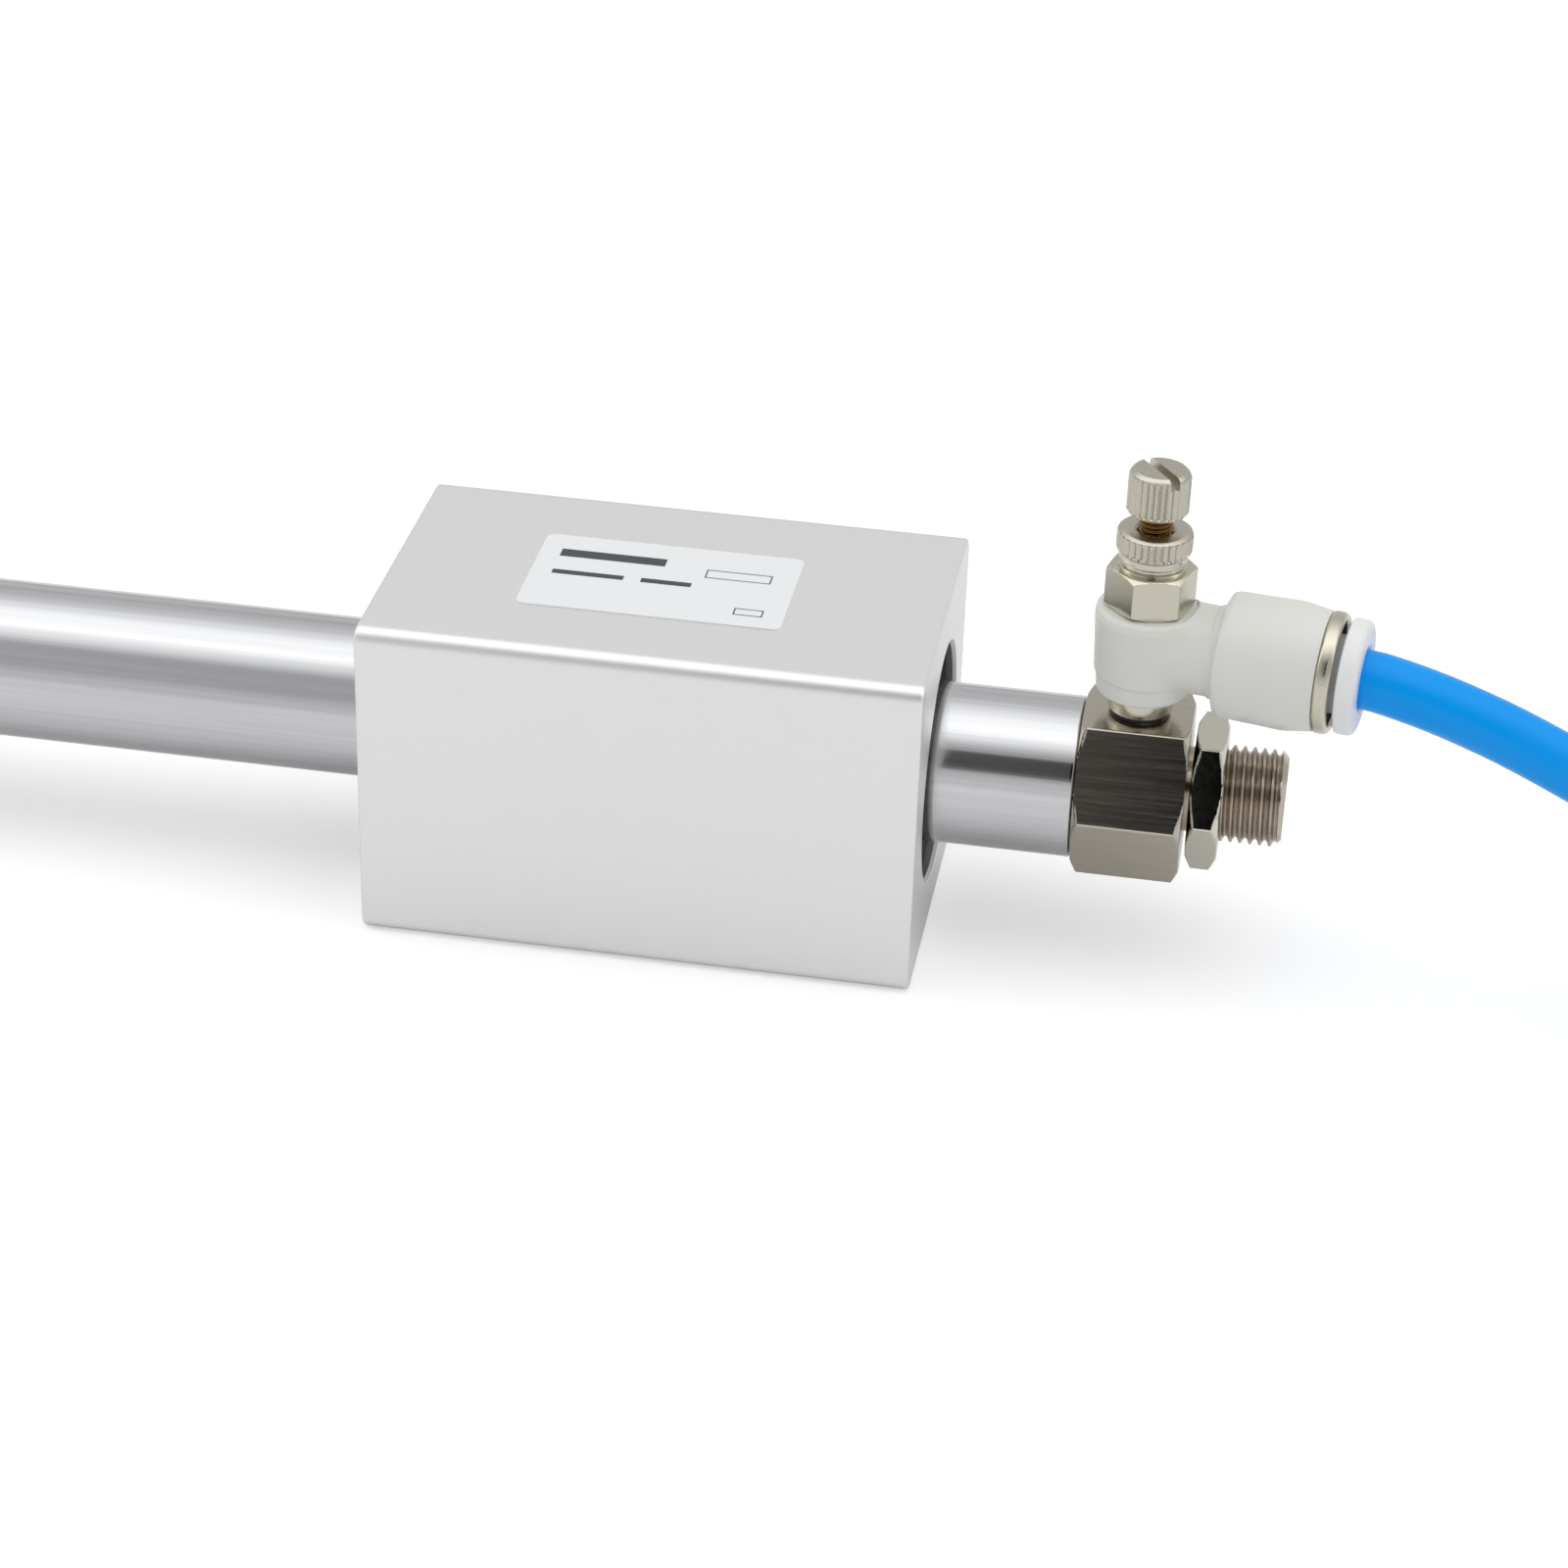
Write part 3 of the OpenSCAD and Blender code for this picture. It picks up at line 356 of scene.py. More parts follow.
class Wires:
    """A geometry tree under construction, with its inputs and short words for its sums."""

    def __init__(self, name, **inputs):
        self.tree = bpy.data.node_groups.new(name, "GeometryNodeTree")
        for kind, names in inputs.items():
            for socket_name in names:
                self.tree.interface.new_socket(socket_name, in_out="INPUT", socket_type="NodeSocket" + kind)
        self.tree.interface.new_socket("Mesh", in_out="OUTPUT", socket_type="NodeSocketGeometry")
        self.input = self.tree.nodes.new("NodeGroupInput").outputs

    def math(self, operation, *values):
        """A sum of values and sockets."""
        return node(self.tree, "ShaderNodeMath", operation=operation,
                    **{f"in_{k}": value for k, value in enumerate(values)}).outputs[0]

    def words(self):
        """Plus, minus, times, over, lesser and greater, as functions of this tree."""
        return [partial(self.math, operation)
                for operation in ("ADD", "SUBTRACT", "MULTIPLY", "DIVIDE", "MINIMUM", "MAXIMUM")]

    def position(self):
        """The x, y and z of the points."""
        spot = node(self.tree, "GeometryNodeInputPosition").outputs[0]
        return node(self.tree, "ShaderNodeSeparateXYZ", in_0=spot).outputs

    def end(self, geometry, x, y, z):
        """Moves the points of a geometry, which ends the tree."""
        spot = node(self.tree, "ShaderNodeCombineXYZ", in_0=x, in_1=y, in_2=z)
        at = node(self.tree, "GeometryNodeSetPosition", in_0=geometry, in_Position=spot.outputs[0])
        merge = node(self.tree, "GeometryNodeMergeByDistance", in_0=at.outputs[0], in_Distance=0.002)
        realize = node(self.tree, "GeometryNodeRealizeInstances", in_0=merge.outputs[0])
        paint = node(self.tree, "GeometryNodeSetMaterial", in_0=realize.outputs[0],
                     in_Material=self.input["Material"])
        node(self.tree, "NodeGroupOutput", in_0=paint.outputs[0])
        return self.tree


# A thread is a grid rolled into a helix: the radius follows the height within one pitch.
wires = Wires("thread", Float=["Length", "Pitch", "Root", "Crest", "Start Bevel", "End Bevel", "Cap"],
              Int=["Sides", "Rows"], Material=["Material"])
plus, minus, times, over, lesser, greater = wires.words()
given = wires.input
grid = node(wires.tree, "GeometryNodeMeshGrid", in_0=1, in_1=1, in_2=plus(given["Sides"], 1),
            in_3=given["Rows"])
across, up, _ = wires.position()
round_share = plus(across, 0.5)
last_row = minus(given["Rows"], 1)
row = wires.math("ROUND", times(plus(up, 0.5), last_row))
steps = plus(over(minus(row, rows_a_turn + 1), rows_a_turn), round_share)
height = greater(0, lesser(given["Length"], times(steps, given["Pitch"])))
turn_of = minus(over(height, given["Pitch"]), round_share)
phase = wires.math("FRACT", plus(turn_of, 10.00001))
rise = minus(1, wires.math("ABSOLUTE", minus(times(phase, 2), 1)))
rise = greater(0, lesser(1, over(minus(rise, .2), .6)))
reach = plus(given["Root"], times(rise, minus(given["Crest"], given["Root"])))
from_start = plus(minus(given["Crest"], given["Start Bevel"]), height)
from_end = plus(minus(given["Crest"], given["End Bevel"]), minus(given["Length"], height))
reach = lesser(reach, lesser(from_start, from_end))
capped = greater(wires.math("LESS_THAN", row, 0.5),
                 wires.math("GREATER_THAN", row, minus(last_row, 0.5)))
reach = plus(times(reach, minus(1, capped)), times(given["Cap"], capped))
round_angle = times(round_share, math.tau)
thread_tree = wires.end(grid.outputs[0], times(reach, wires.math("COSINE", round_angle)),
                        times(reach, wires.math("SINE", round_angle)), height)


def through(tree, mesh, **values):
    """What a geometry tree makes of a mesh, as a new mesh."""
    blank = bpy.data.objects.new("blank", mesh)
    scene.collection.objects.link(blank)
    modifier = blank.modifiers.new("nodes", "NODES")
    modifier.node_group = tree
    for item in tree.interface.items_tree:
        word = item.name.replace(" ", "_")
        if item.in_out == "INPUT" and word in values:
            modifier[item.identifier] = values[word]
    result = bpy.data.meshes.new_from_object(blank.evaluated_get(bpy.context.evaluated_depsgraph_get()))
    blank.modifiers.remove(modifier)
    bpy.data.objects.remove(blank)
    return result


def threaded(length, pitch, root, crest, start_bevel=0.0, end_bevel=0.0, cap=0.0, sides=96):
    """A length of thread up from the origin; one with a cap wider than its root lines a hole."""
    mesh = through(thread_tree, bpy.data.meshes.new("thread"), Length=length, Pitch=pitch, Root=root,
                   Crest=crest, Start_Bevel=start_bevel, End_Bevel=end_bevel, Cap=cap, Sides=sides,
                   Rows=math.ceil((length / pitch + 2) * rows_a_turn) + 3,
                   Material=finishes["nickel_plate"])
    return outward(mesh, bridged=cap > 0)


def flats(turns, count, distance, corner_r, first):
    """How far a bar with flats reaches at each turn: first is the turn of one corner."""
    half = math.pi / count
    off = np.abs((np.array(turns) - first + half) % (2 * half) - half)
    d = (distance - corner_r) / math.cos(half)
    edge = math.atan2(corner_r * math.sin(half), d + corner_r * math.cos(half))
    round_part = d * np.cos(off) + np.sqrt(np.maximum(corner_r**2 - (d * np.sin(off)) ** 2, 0))
    return np.where(off < edge, round_part, distance / np.cos(half - off))


def hex_turns(first):
    """Turns round a hexagon, closer together at its corners: first is the turn of one corner."""
    close = np.delete(np.linspace(-.018, .018, 9), 4)
    even = np.arange(120) * math.tau / 120
    return np.sort(np.concatenate([first + even, *[first + a + close for a in even[::20]]]) % math.tau)


def chamfered(flat, length, from_edge=0.1):
    """Profile of a hexagon whose two faces are turned down at 30 degrees."""
    corner = flat / math.cos(math.pi / 6) + 0.1
    rise = [(flat - from_edge + s * (corner - flat + from_edge),
             s * (corner - flat + from_edge) * math.tan(math.pi / 6)) for s in np.linspace(0, 1, 10)]
    return rise + [(r, length - z) for r, z in reversed(rise)]


def joined(name, *meshes):
    """One mesh of several closed ones."""
    bm = bmesh.new()
    for mesh in meshes:
        bm.from_mesh(mesh)
    whole = bpy.data.meshes.new(name)
    bm.to_mesh(whole)
    bm.free()
    return whole


def carved(mesh, *cutters):
    """A mesh with others cut out of it."""
    solid = bpy.data.objects.new("solid", mesh)
    scene.collection.objects.link(solid)
    tools = []
    for cutter in cutters:
        tool = bpy.data.objects.new("tool", cutter)
        scene.collection.objects.link(tool)
        tools.append(tool)
        cut = solid.modifiers.new("cut", "BOOLEAN")
        cut.object, cut.operation, cut.solver = tool, "DIFFERENCE", "EXACT"
    result = bpy.data.meshes.new_from_object(solid.evaluated_get(bpy.context.evaluated_depsgraph_get()))
    for thing in [solid, *tools]:
        bpy.data.objects.remove(thing)
    return result


def painted(piece, look, inside):
    """Gives the faces of a piece whose centres lie inside some place another finish."""
    piece.data.materials.append(finishes[look])
    for face in piece.data.polygons:
        if inside(face.center / mm):
            face.material_index = len(piece.data.materials) - 1


upright_turns = hex_turns(math.pi / 2)


def end_cover():
    """An end cover about its axis: Z runs from its shoulder into the tube, X is up through the port."""
    bar = turned("bar", [(0, 0), (cover_flat - 0.4, 0), *chamfered(cover_flat, cover_len, -0.2),
                         (cover_flat - 0.4, cover_len), (0, cover_len)],
                 outline=flats(upright_turns, 6, cover_flat, 0.32, math.pi / 2), turns=upright_turns)
    drill = turned("drill", [(0, 0), (2.44, 0), (2.44, 4.2), (3.6, 5.36), (0, 5.36)], 64)
    passage = turned("passage", [(0, -1.5), (1.5, -1.5), (1.5, 5), (0, 5)], 48)
    to_port = Matrix.Translation((0, 0, port_in)) @ Matrix.Rotation(math.pi / 2, 4, "Y")
    bar = carved(bar, moved(drill, to_port @ Matrix.Translation((0, 0, 3.7))), moved(passage, to_port))
    lining = moved(threaded(4.3, 0.8, 2.5, 2.1, -9.0, -9.0, cap=2.62, sides=64),
                   to_port @ Matrix.Translation((0, 0, 3.5)))
    nose = moved(threaded(nose_len - relief_len, 1.0, 4.4, nose_r, 0.75, 0.3, sides=128),
                 Matrix.Translation((0, 0, -nose_len)))
    neck = turned("neck", [(0, -relief_len - 0.5), (4.35, -relief_len - 0.5), (4.35, 0.3), (0, 0.3)], 128)
    spigot = turned("spigot", rounded([
        (0, cover_len - 0.5), (spigot_r, cover_len - 0.5), (spigot_r, cover_len + 2),
        (6.35, cover_len + 2), (6.35, cover_len + 3.9), (spigot_r, cover_len + 3.9),
        (spigot_r, cover_len + spigot_len - 0.4), (7.05, cover_len + spigot_len),
        (0, cover_len + spigot_len)], 0.05), 128)
    way = turned("way", [(0, port_in), (1.5, port_in), (1.5, 30), (0, 30)], 48)
    return joined("cover", carved(bar, way), lining, nose, neck, carved(spigot, way))


upright = Matrix(((0, 0, 1, 0), (0, -1, 0, 0), (1, 0, 0, 0), (0, 0, 0, 1)))
half_round = Matrix.Translation((body_len, 0, 0)) @ Matrix.Rotation(math.pi, 4, "Z")
cover = moved(end_cover(), upright)
for side, mesh in (("left", cover.copy()), ("right", moved(cover, half_round))):
    piece = place(f"{side}_end_cover_plated", mesh, "cylinder", "nickel_plate", f"{side}_end_cover")
    painted(piece, "nickel_milled", lambda p: min(p.x, body_len - p.x) > -0.01
            and math.hypot(p.y, p.z) > nose_r + 0.2)
    painted(piece, "nickel_thread", lambda p: -nose_len + 0.7 < min(p.x, body_len - p.x) < 0
            and math.hypot(p.y, p.z) <= nose_r + 0.2)

# Mounting nuts ------------------------------------------------
# One thin hexagon nut of zinc-plated steel on each nose, a little way off the cover.

nut_flat = 7.0
nut_t = 3.2
nut_gap = 0.5
finish("nut_zinc", (.74, .72, .62), 1, .07, (2, 2, 2), .8, .03)
nut = turned("nut", [(5.55, 0), *chamfered(nut_flat, nut_t), (5.55, nut_t), (5.05, nut_t - 0.5),
                     (5.05, 0.5)], bored=True,
             outline=flats(upright_turns, 6, nut_flat, 0.25, math.pi / 2), turns=upright_turns)
nut = moved(nut, Matrix.Translation((-nut_gap - nut_t, 0, 0)), upright)
for side, mesh in (("left", nut.copy()), ("right", moved(nut, half_round))):
    place(f"{side}_nut_plated", mesh, f"{side}_nut", "nickel_plate", f"{side}_mounting_nut",
          look="nut_zinc")

# Carriage block -----------------------------------------------
# Square anodised block with eased edges, bored through for the magnets, with a groove for a clip
# inside each end and four tapped holes in its lower face.

rest_x = 329.0
block_half = 17.5
block_len = 57.0
half_len = block_len / 2
block_edge_r = 1.5
block_bevel = 0.35
block_bore = 14.0
groove_r = 14.7
groove_z = (-25.5, -24.3)
mouth_r = 12.3
mouth_t = 1.1
hole_half = (17.5, 9.5)
finish("anodised_aluminium", (.925, .93, .925), 1, .45, (7, 7, 7), 5, .05)
# oiled_bore is painted shade: a darker metal for the shadow inside the bore and its mouth.
finish("oiled_bore", (.5, .5, .49), 1, .4, (5, 5, 5), 2)
corner_spread = np.linspace(-.09, .09, 13)
block_turns = np.sort(np.concatenate([np.arange(160) * math.tau / 160,
                                      *[k * math.pi / 2 + math.pi / 4 + corner_spread for k in range(4)]])
                      % math.tau)
block_turns = block_turns[np.concatenate([[True], np.diff(block_turns) > 1e-4])]
outside = [ring_of(flats(block_turns, 4, block_half - inset, block_edge_r - inset / 2, math.pi / 4),
                   block_turns, height)
           for inset, height in [(block_bevel, -half_len), (0.12, 0.1 - half_len), (0.02, 0.28 - half_len),
                                 (0, block_bevel + 0.1 - half_len), (0, block_bevel + 0.6 - half_len),
                                 (0, -14), (0, 0), (0, 14)]]
inside = [ring_of(r, block_turns, height)
          for r, height in [(mouth_r + .35, -half_len), (mouth_r + .3, .05 - half_len),
                            (mouth_r, .4 - half_len), (mouth_r, mouth_t - half_len),
                            (block_bore, mouth_t - half_len), (block_bore, groove_z[0]),
                            (groove_r, groove_z[0]), (groove_r, groove_z[1]), (block_bore, groove_z[1])]]
other_end = np.array([1, 1, -1])
block_rings = [*outside, *[ring * other_end for ring in reversed(outside[:5])],
               *[ring * other_end for ring in inside], *reversed(inside)]
drill = turned("drill", [(0, -3), (2.0, -3), (2.0, 0), (1.65, 0.35), (1.65, 6), (0, 7)], 40)
holes = [moved(drill, Matrix.Translation((x * hole_half[0], y * hole_half[1], -block_half)))
         for x in (-1, 1) for y in (-1, 1)]
block = moved(lofted("block", block_rings, bored=True), along_x(0))
block = moved(carved(block, *holes), Matrix.Translation((rest_x, 0, 0)))
block_piece = place("carriage_block_anodised", block, "carriage", "anodised_aluminium", "carriage_block",
                    sharp=25)
# The faces inside the bore and its mouth get the darker finish, as painted shade.
painted(block_piece, "oiled_bore", lambda p: math.hypot(p.y, p.z) < groove_r + 0.1
        and abs(p.x - rest_x) < half_len - 0.2)

# Name plate film ----------------------------------------------
# Thin silver film with round corners. Its print is only plain bars and two empty boxes.

film_half = (13.5, 7.8)
film_at = (328.2, -0.4)
film_t = 0.15
film_corner = 0.8
print_lift = (0.001, 0.012)
finish("label_film", (.9, .92, .935), 0, .3, (3, 3, 3), .6, .04)
finish("print_grey", (.06, .065, .07), 0, .5, (5, 5, 5), .5)
film_edge = []
for cx, cy, first in [(1, 1, 0), (-1, 1, 90), (-1, -1, 180), (1, -1, 270)]:
    for a in np.radians(np.linspace(first, first + 90, 7)):
        film_edge.append((film_at[0] + cx * (film_half[0] - film_corner) + film_corner * math.cos(a),
                          film_at[1] + cy * (film_half[1] - film_corner) + film_corner * math.sin(a)))
film = lofted("film", [[(x, y, z) for x, y in film_edge] for z in (block_half, block_half + film_t)])
place("name_plate_film", film, "carriage", "label_film", "carriage_label")


def print_box(x0, x1, y0, y1, line=0.14):
    """The four bars of an empty box."""
    return [(x0, x1, y0, y0 + line), (x0, x1, y1 - line, y1), (x0, x0 + line, y0 + line, y1 - line),
            (x1 - line, x1, y0 + line, y1 - line)]


bars = [(2.2, 13.2, 10.9, 12.5), (2.2, 9.6, 7.0, 7.9), (11.4, 16.6, 7.0, 7.9),
        *print_box(17.6, 24.4, 9.4, 11.2), *print_box(21.8, 24.8, 2.2, 3.6)]
print_points, print_faces = [], []
for x0, x1, y0, y1 in bars:
    low = len(print_points)
    print_points += [(film_at[0] - film_half[0] + x, film_at[1] - film_half[1] + y,
                      block_half + film_t + lift) for lift in print_lift
                     for x, y in corners((x0, x1), (y0, y1))]
    print_faces += [(low + 4, low + 5, low + 6, low + 7), (low + 3, low + 2, low + 1, low)]
    print_faces += [(low + 4 + k, low + k, low + (k + 1) % 4, low + 4 + (k + 1) % 4) for k in range(4)]
place("name_plate_print", mesh_of("print", print_points, print_faces), "carriage", "label_film",
      look="print_grey", smooth=False)

# Valve stem ---------------------------------------------------
# One turned and plated brass piece: flange, hollow post, hexagon and grooved cap. A thin gasket
# lies under its flange.

arm_z = 16.65
boss_z = 11.55
hex_z = 20.6
lock_z = 26.65
stem_r = 2.8
shank_z = 4.1
flange_z = 8.9
stem_turn = math.radians(12)
at_port = Matrix.Translation((port_x, 0, 0))
finish("nickel_turned", (.67, .64, .535), 1, .2, (2, 2, 7), 3, .05)
finish("seal_rubber", (.02, .02, .021), 0, .5, (5, 5, 5), 3)
post = turned("post", rounded([
    (1, shank_z), (1.65, shank_z), (2.05, shank_z + .4), (2.05, flange_z), (3.05, flange_z),
    (3.25, flange_z + .2), (3.25, boss_z - .2), (3.05, boss_z), (stem_r, boss_z), (stem_r, 11.9),
    (2.1, 11.9), (2.1, 12.8), (stem_r, 12.8), (stem_r, 14.0), (2.1, 14.0), (2.1, 15.2), (stem_r, 15.2),
    (stem_r, 18.85), (2.1, 18.85), (2.1, 19.75), (stem_r, 19.75), (stem_r, hex_z + .1),
    (1.5, hex_z + .1), (1.5, arm_z - 2.25), (1, arm_z - 2.25), (1, shank_z)], .06)[:-1], 96, bored=True)
ways = [moved(turned("way", [(0, -4), (r, -4), (r, 4), (0, 4)], sides), Matrix.Translation((0, 0, z)),
              Matrix.Rotation(a, 4, "Z"), Matrix.Rotation(math.pi / 2, 4, "X"))
        for r, sides, z in ((.9, 32, arm_z), (.4, 24, boss_z + 1.85)) for a in (0, math.pi / 2)]
stem_hex = turned("stem_hex", [(1.5, 0), (3.5, 0), *chamfered(4, 4.4, .05), (3.4, 4.4),
                               (3.4, 4.55), (3.34, 4.64), (3.05, 4.72), (3.0, 4.8), (3.0, 5.1),
                               (3.05, 5.18), (3.34, 5.26), (3.4, 5.35), (3.4, 5.85), (3.35, 5.97),
                               (3.2, 6.05), (1.9, 6.05), (1.75, 5.9), (1.75, 1.9), (1.5, 1.9)],
                  bored=True, turns=hex_turns(stem_turn),
                  outline=flats(hex_turns(stem_turn), 6, 4, .15, stem_turn))
stem = joined("stem", carved(post, *ways), moved(stem_hex, Matrix.Translation((0, 0, hex_z))))
place("valve_stem_plated", moved(stem, at_port), "cylinder", "nickel_plate", "valve_stem",
      look="nickel_turned")
gasket = turned("gasket", rounded([(2.5, 8.5), (2.95, 8.5), (2.95, flange_z), (2.5, flange_z), (2.5, 8.5)],
                                  .08)[:-1], 96, bored=True)
place("port_gasket_rubber", moved(gasket, at_port), "cylinder", "seal_rubber", "port_gasket")

# Elbow body ---------------------------------------------------
# A pale moulding: boss and arm blend into each other with a fillet, so the surface is taken from
# their distances on a fine grid. The bores are cut from it the same way.

arm_yaw = math.radians(9)
elbow_step = 0.17
elbow_fillet = 0.8
elbow_space = ((-5.7, -9.8, 9.7), (19.6, 7.2, 23.7))
parting_z = 13.15
parting_depth = 0.06
parting_width = 0.14
bore_fillet = 0.12
skirt_z = boss_z - 0.5
finish("elbow_resin", (.8, .81, .765), 0, .36, (5, 5, 5), 1.5, .05, in_Subsurface_Weight=.12,
       in_Subsurface_Scale=.0006)
boss_profile = [(4.3, skirt_z), (4.65, skirt_z + .25), (4.8, boss_z + 1.5), (5.0, boss_z + 1.7),
                (5.3, hex_z - 1), (5.15, hex_z - .35), (4.8, hex_z)]
arm_profile = [(4.6, 0), (4.6, 7.0), (4.78, 7.2), (4.78, 7.8), (5.67, 7.9), (6.17, 8.1), (6.37, 8.6),
               (6.52, 14.85), (6.47, 15.55), (6.07, 18.05)]
boss_holes = [(3.4, boss_z - 2), (3.4, boss_z + .05), (2.85, boss_z + .05), (2.85, arm_z - 1.05),
              (3.6, arm_z - 1.05), (3.6, arm_z + 1.05), (2.85, arm_z + 1.05), (2.85, hex_z),
              (4.92, hex_z), (4.92, hex_z + 6)]
arm_holes = [(1.6, 2.8), (1.6, 9.5), (3.1, 9.5), (3.1, 12.5), (4.3, 12.5), (4.3, 14.5), (4.6, 14.5),
             (4.6, 20)]


def from_profile(r, h, profile):
    """Distance outside a turned shape; profile is (radius, height) from its lower end to its upper."""
    ring = [*profile, *[(-a, b) for a, b in reversed(profile)]]
    best = np.full(r.shape, 1e9)
    inside = np.zeros(r.shape, bool)
    for (ax, ay), (bx, by) in zip(ring, [*ring[1:], ring[0]]):
        ex, ey = bx - ax, by - ay
        if ex * ex + ey * ey == 0:
            continue
        wx, wy = r - ax, h - ay
        t = np.clip((wx * ex + wy * ey) / (ex * ex + ey * ey), 0, 1)
        best = np.minimum(best, (wx - t * ex) ** 2 + (wy - t * ey) ** 2)
        if ey != 0:
            inside ^= ((ay > h) != (by > h)) & (r < ex * (h - ay) / ey + ax)
    return np.where(inside, -1, 1) * np.sqrt(best)


def blended(a, b, k):
    """The nearer of two distances, with a fillet where they meet."""
    h = np.clip(0.5 + 0.5 * (b - a) / k, 0, 1)
    return b + (a - b) * h - k * h * (1 - h)


def elbow_distance(p):
    """Distance from the elbow's surface at points given from the port's axis."""
    x, y, z = p[..., 0], p[..., 1], p[..., 2]
    along = x * math.cos(arm_yaw) - y * math.sin(arm_yaw)
    aside = x * math.sin(arm_yaw) + y * math.cos(arm_yaw)
    from_port, from_arm = np.hypot(x, y), np.hypot(aside, z - arm_z)
    solid = blended(from_profile(from_port, z, boss_profile), from_profile(from_arm, along, arm_profile),
                    elbow_fillet)
    parting = parting_depth * np.exp(-((z - parting_z) / parting_width) ** 2)
    solid = solid + parting * (along < arm_profile[3][1])
    holes = np.minimum(from_profile(from_port, z, boss_holes), from_profile(from_arm, along, arm_holes))
    return -blended(-solid, holes, bore_fillet)


def surface_of(distance, low, high, step):
    """Vertices and quads of the surface where distance is nought, on a grid."""
    axes = [np.arange(a, b + step, step) for a, b in zip(low, high)]
    field = distance(np.stack(np.meshgrid(*axes, indexing="ij"), axis=-1))
    solid = field < 0
    n = [s - 1 for s in field.shape]
    total, found = np.zeros((*n, 3)), np.zeros(n)
    unit = np.eye(3, dtype=int)
    quads = []
    for axis in range(3):
        one = [slice(None)] * 3
        two = [slice(None)] * 3
        one[axis], two[axis] = slice(0, -1), slice(1, None)
        a, b = field[tuple(one)], field[tuple(two)]
        crosses = (a < 0) != (b < 0)
        share = np.where(crosses, a / np.where(a == b, 1, a - b), 0)
        others = [k for k in range(3) if k != axis]
        for i in (0, 1):
            for j in (0, 1):
                part = [None] * 3
                part[axis] = slice(0, n[axis])
                part[others[0]] = slice(i, n[others[0]] + i)
                part[others[1]] = slice(j, n[others[1]] + j)
                c, s = crosses[tuple(part)], share[tuple(part)]
                found += c
                total[..., axis] += c * s
                total[..., others[0]] += c * i
                total[..., others[1]] += c * j
        inner = [slice(1, n[k]) if k != axis else slice(0, n[k]) for k in range(3)]
        spots = np.argwhere(crosses[tuple(inner)])
        spots[:, others] += 1
        into = solid[tuple(one)][tuple(spots.T)]
        corner = np.stack([np.ravel_multi_index((spots - i * unit[others[0]] - j * unit[others[1]]).T, n)
                           for i, j in ((1, 1), (0, 1), (0, 0), (1, 0))], axis=1)
        quads.append(np.where((into != (axis == 1))[:, None], corner, corner[:, ::-1]))
    quads = np.concatenate(quads)
    used = np.flatnonzero(found.ravel() > 0)
    index = np.full(found.size, -1)
    index[used] = np.arange(len(used))
    cells = np.stack(np.unravel_index(used, n), axis=1)
    spots = np.array(low) + step * (cells + total.reshape(-1, 3)[used] / found.ravel()[used, None])
    return spots, index[quads]


def slope(distance, points, step=0.03):
    """Direction in which distance grows fastest."""
    grad = np.stack([distance(points + step * e) - distance(points - step * e) for e in np.eye(3)], axis=-1)
    return grad / np.maximum(np.linalg.norm(grad, axis=-1, keepdims=True), 1e-9)


spots, quads = surface_of(elbow_distance, *elbow_space, elbow_step)
for _ in range(3):
    spots = spots - 0.9 * elbow_distance(spots)[:, None] * slope(elbow_distance, spots)
elbow = mesh_of("elbow", spots + np.array([port_x, 0, 0]), quads.tolist())
elbow_normals = slope(elbow_distance, spots, 0.05)
place("elbow_body_moulded", elbow, "elbow", "elbow_resin", "elbow_body", sharp=60)
elbow.normals_split_custom_set_from_vertices(elbow_normals.tolist())

# Guide ring and release button --------------------------------
# The bright plated rim pressed into the collar, and the pale moulded ring that frees the hose. The recess
# in the rim's face is painted near black as painted shade.

# This dark steel is the real finish of the inner washers and rings, and it is also painted shade in the
# guide ring's recess.
finish("spring_steel", (.1, .1, .105), .9, .45, (6, 6, 6), 2)
finish("button_resin", (.9, .91, .91), 0, .3, (5, 5, 5), 1, .05, in_Subsurface_Weight=.25,
       in_Subsurface_Scale=.001)
at_arm = at_port @ Matrix.Translation((0, 0, arm_z)) @ Matrix.Rotation(-arm_yaw, 4, "Z") @ \
    Matrix.Rotation(math.pi / 2, 4, "Y")
from_arm_end = at_arm.inverted()


def in_shaded_recess(p):
    """Whether a point lies in the recess of the ring's face, which gets painted shade."""
    spot = from_arm_end @ p
    return spot.z > 18.4 and math.hypot(spot.x, spot.y) < 5.28


ring = turned("ring", rounded([
    (4.05, 14.6), (4.58, 14.6), (4.58, 18.05), (5.92, 18.05), (6.17, 18.3), (6.17, 19.05),
    (6.02, 19.45), (5.67, 19.65), (5.4, 19.55), (5.3, 19.3), (5.25, 18.55), (4.05, 18.5),
    (4.05, 14.6)], .12)[:-1], 160, bored=True)
ring_piece = place("guide_ring_plated", moved(ring, at_arm), "elbow", "nickel_plate", "guide_ring",
                   look="nickel_turned")
# The faces inside the ring's recess are painted near black: painted shade for the shadow in the gap.
painted(ring_piece, "spring_steel", in_shaded_recess)
button = turned("button", rounded([
    (3.1, 17.1), (3.68, 17.1), (3.98, 17.4), (3.98, 20.15), (5.65, 20.15), (5.85, 20.35), (5.85, 21.45),
    (5.65, 21.95), (5.15, 22.15), (3.4, 22.15), (3.1, 21.85), (3.1, 17.1)], .2)[:-1], 160, bored=True)
place("release_button_moulded", moved(button, at_arm), "button", "button_resin", "release_button")

# Lock nut, needle and knob ------------------------------------
# Nickel-plated brass, knurled, on a bare brass needle. Its fine thread shows between the lock nut
# and the knob, whose top has a slot for a screwdriver.

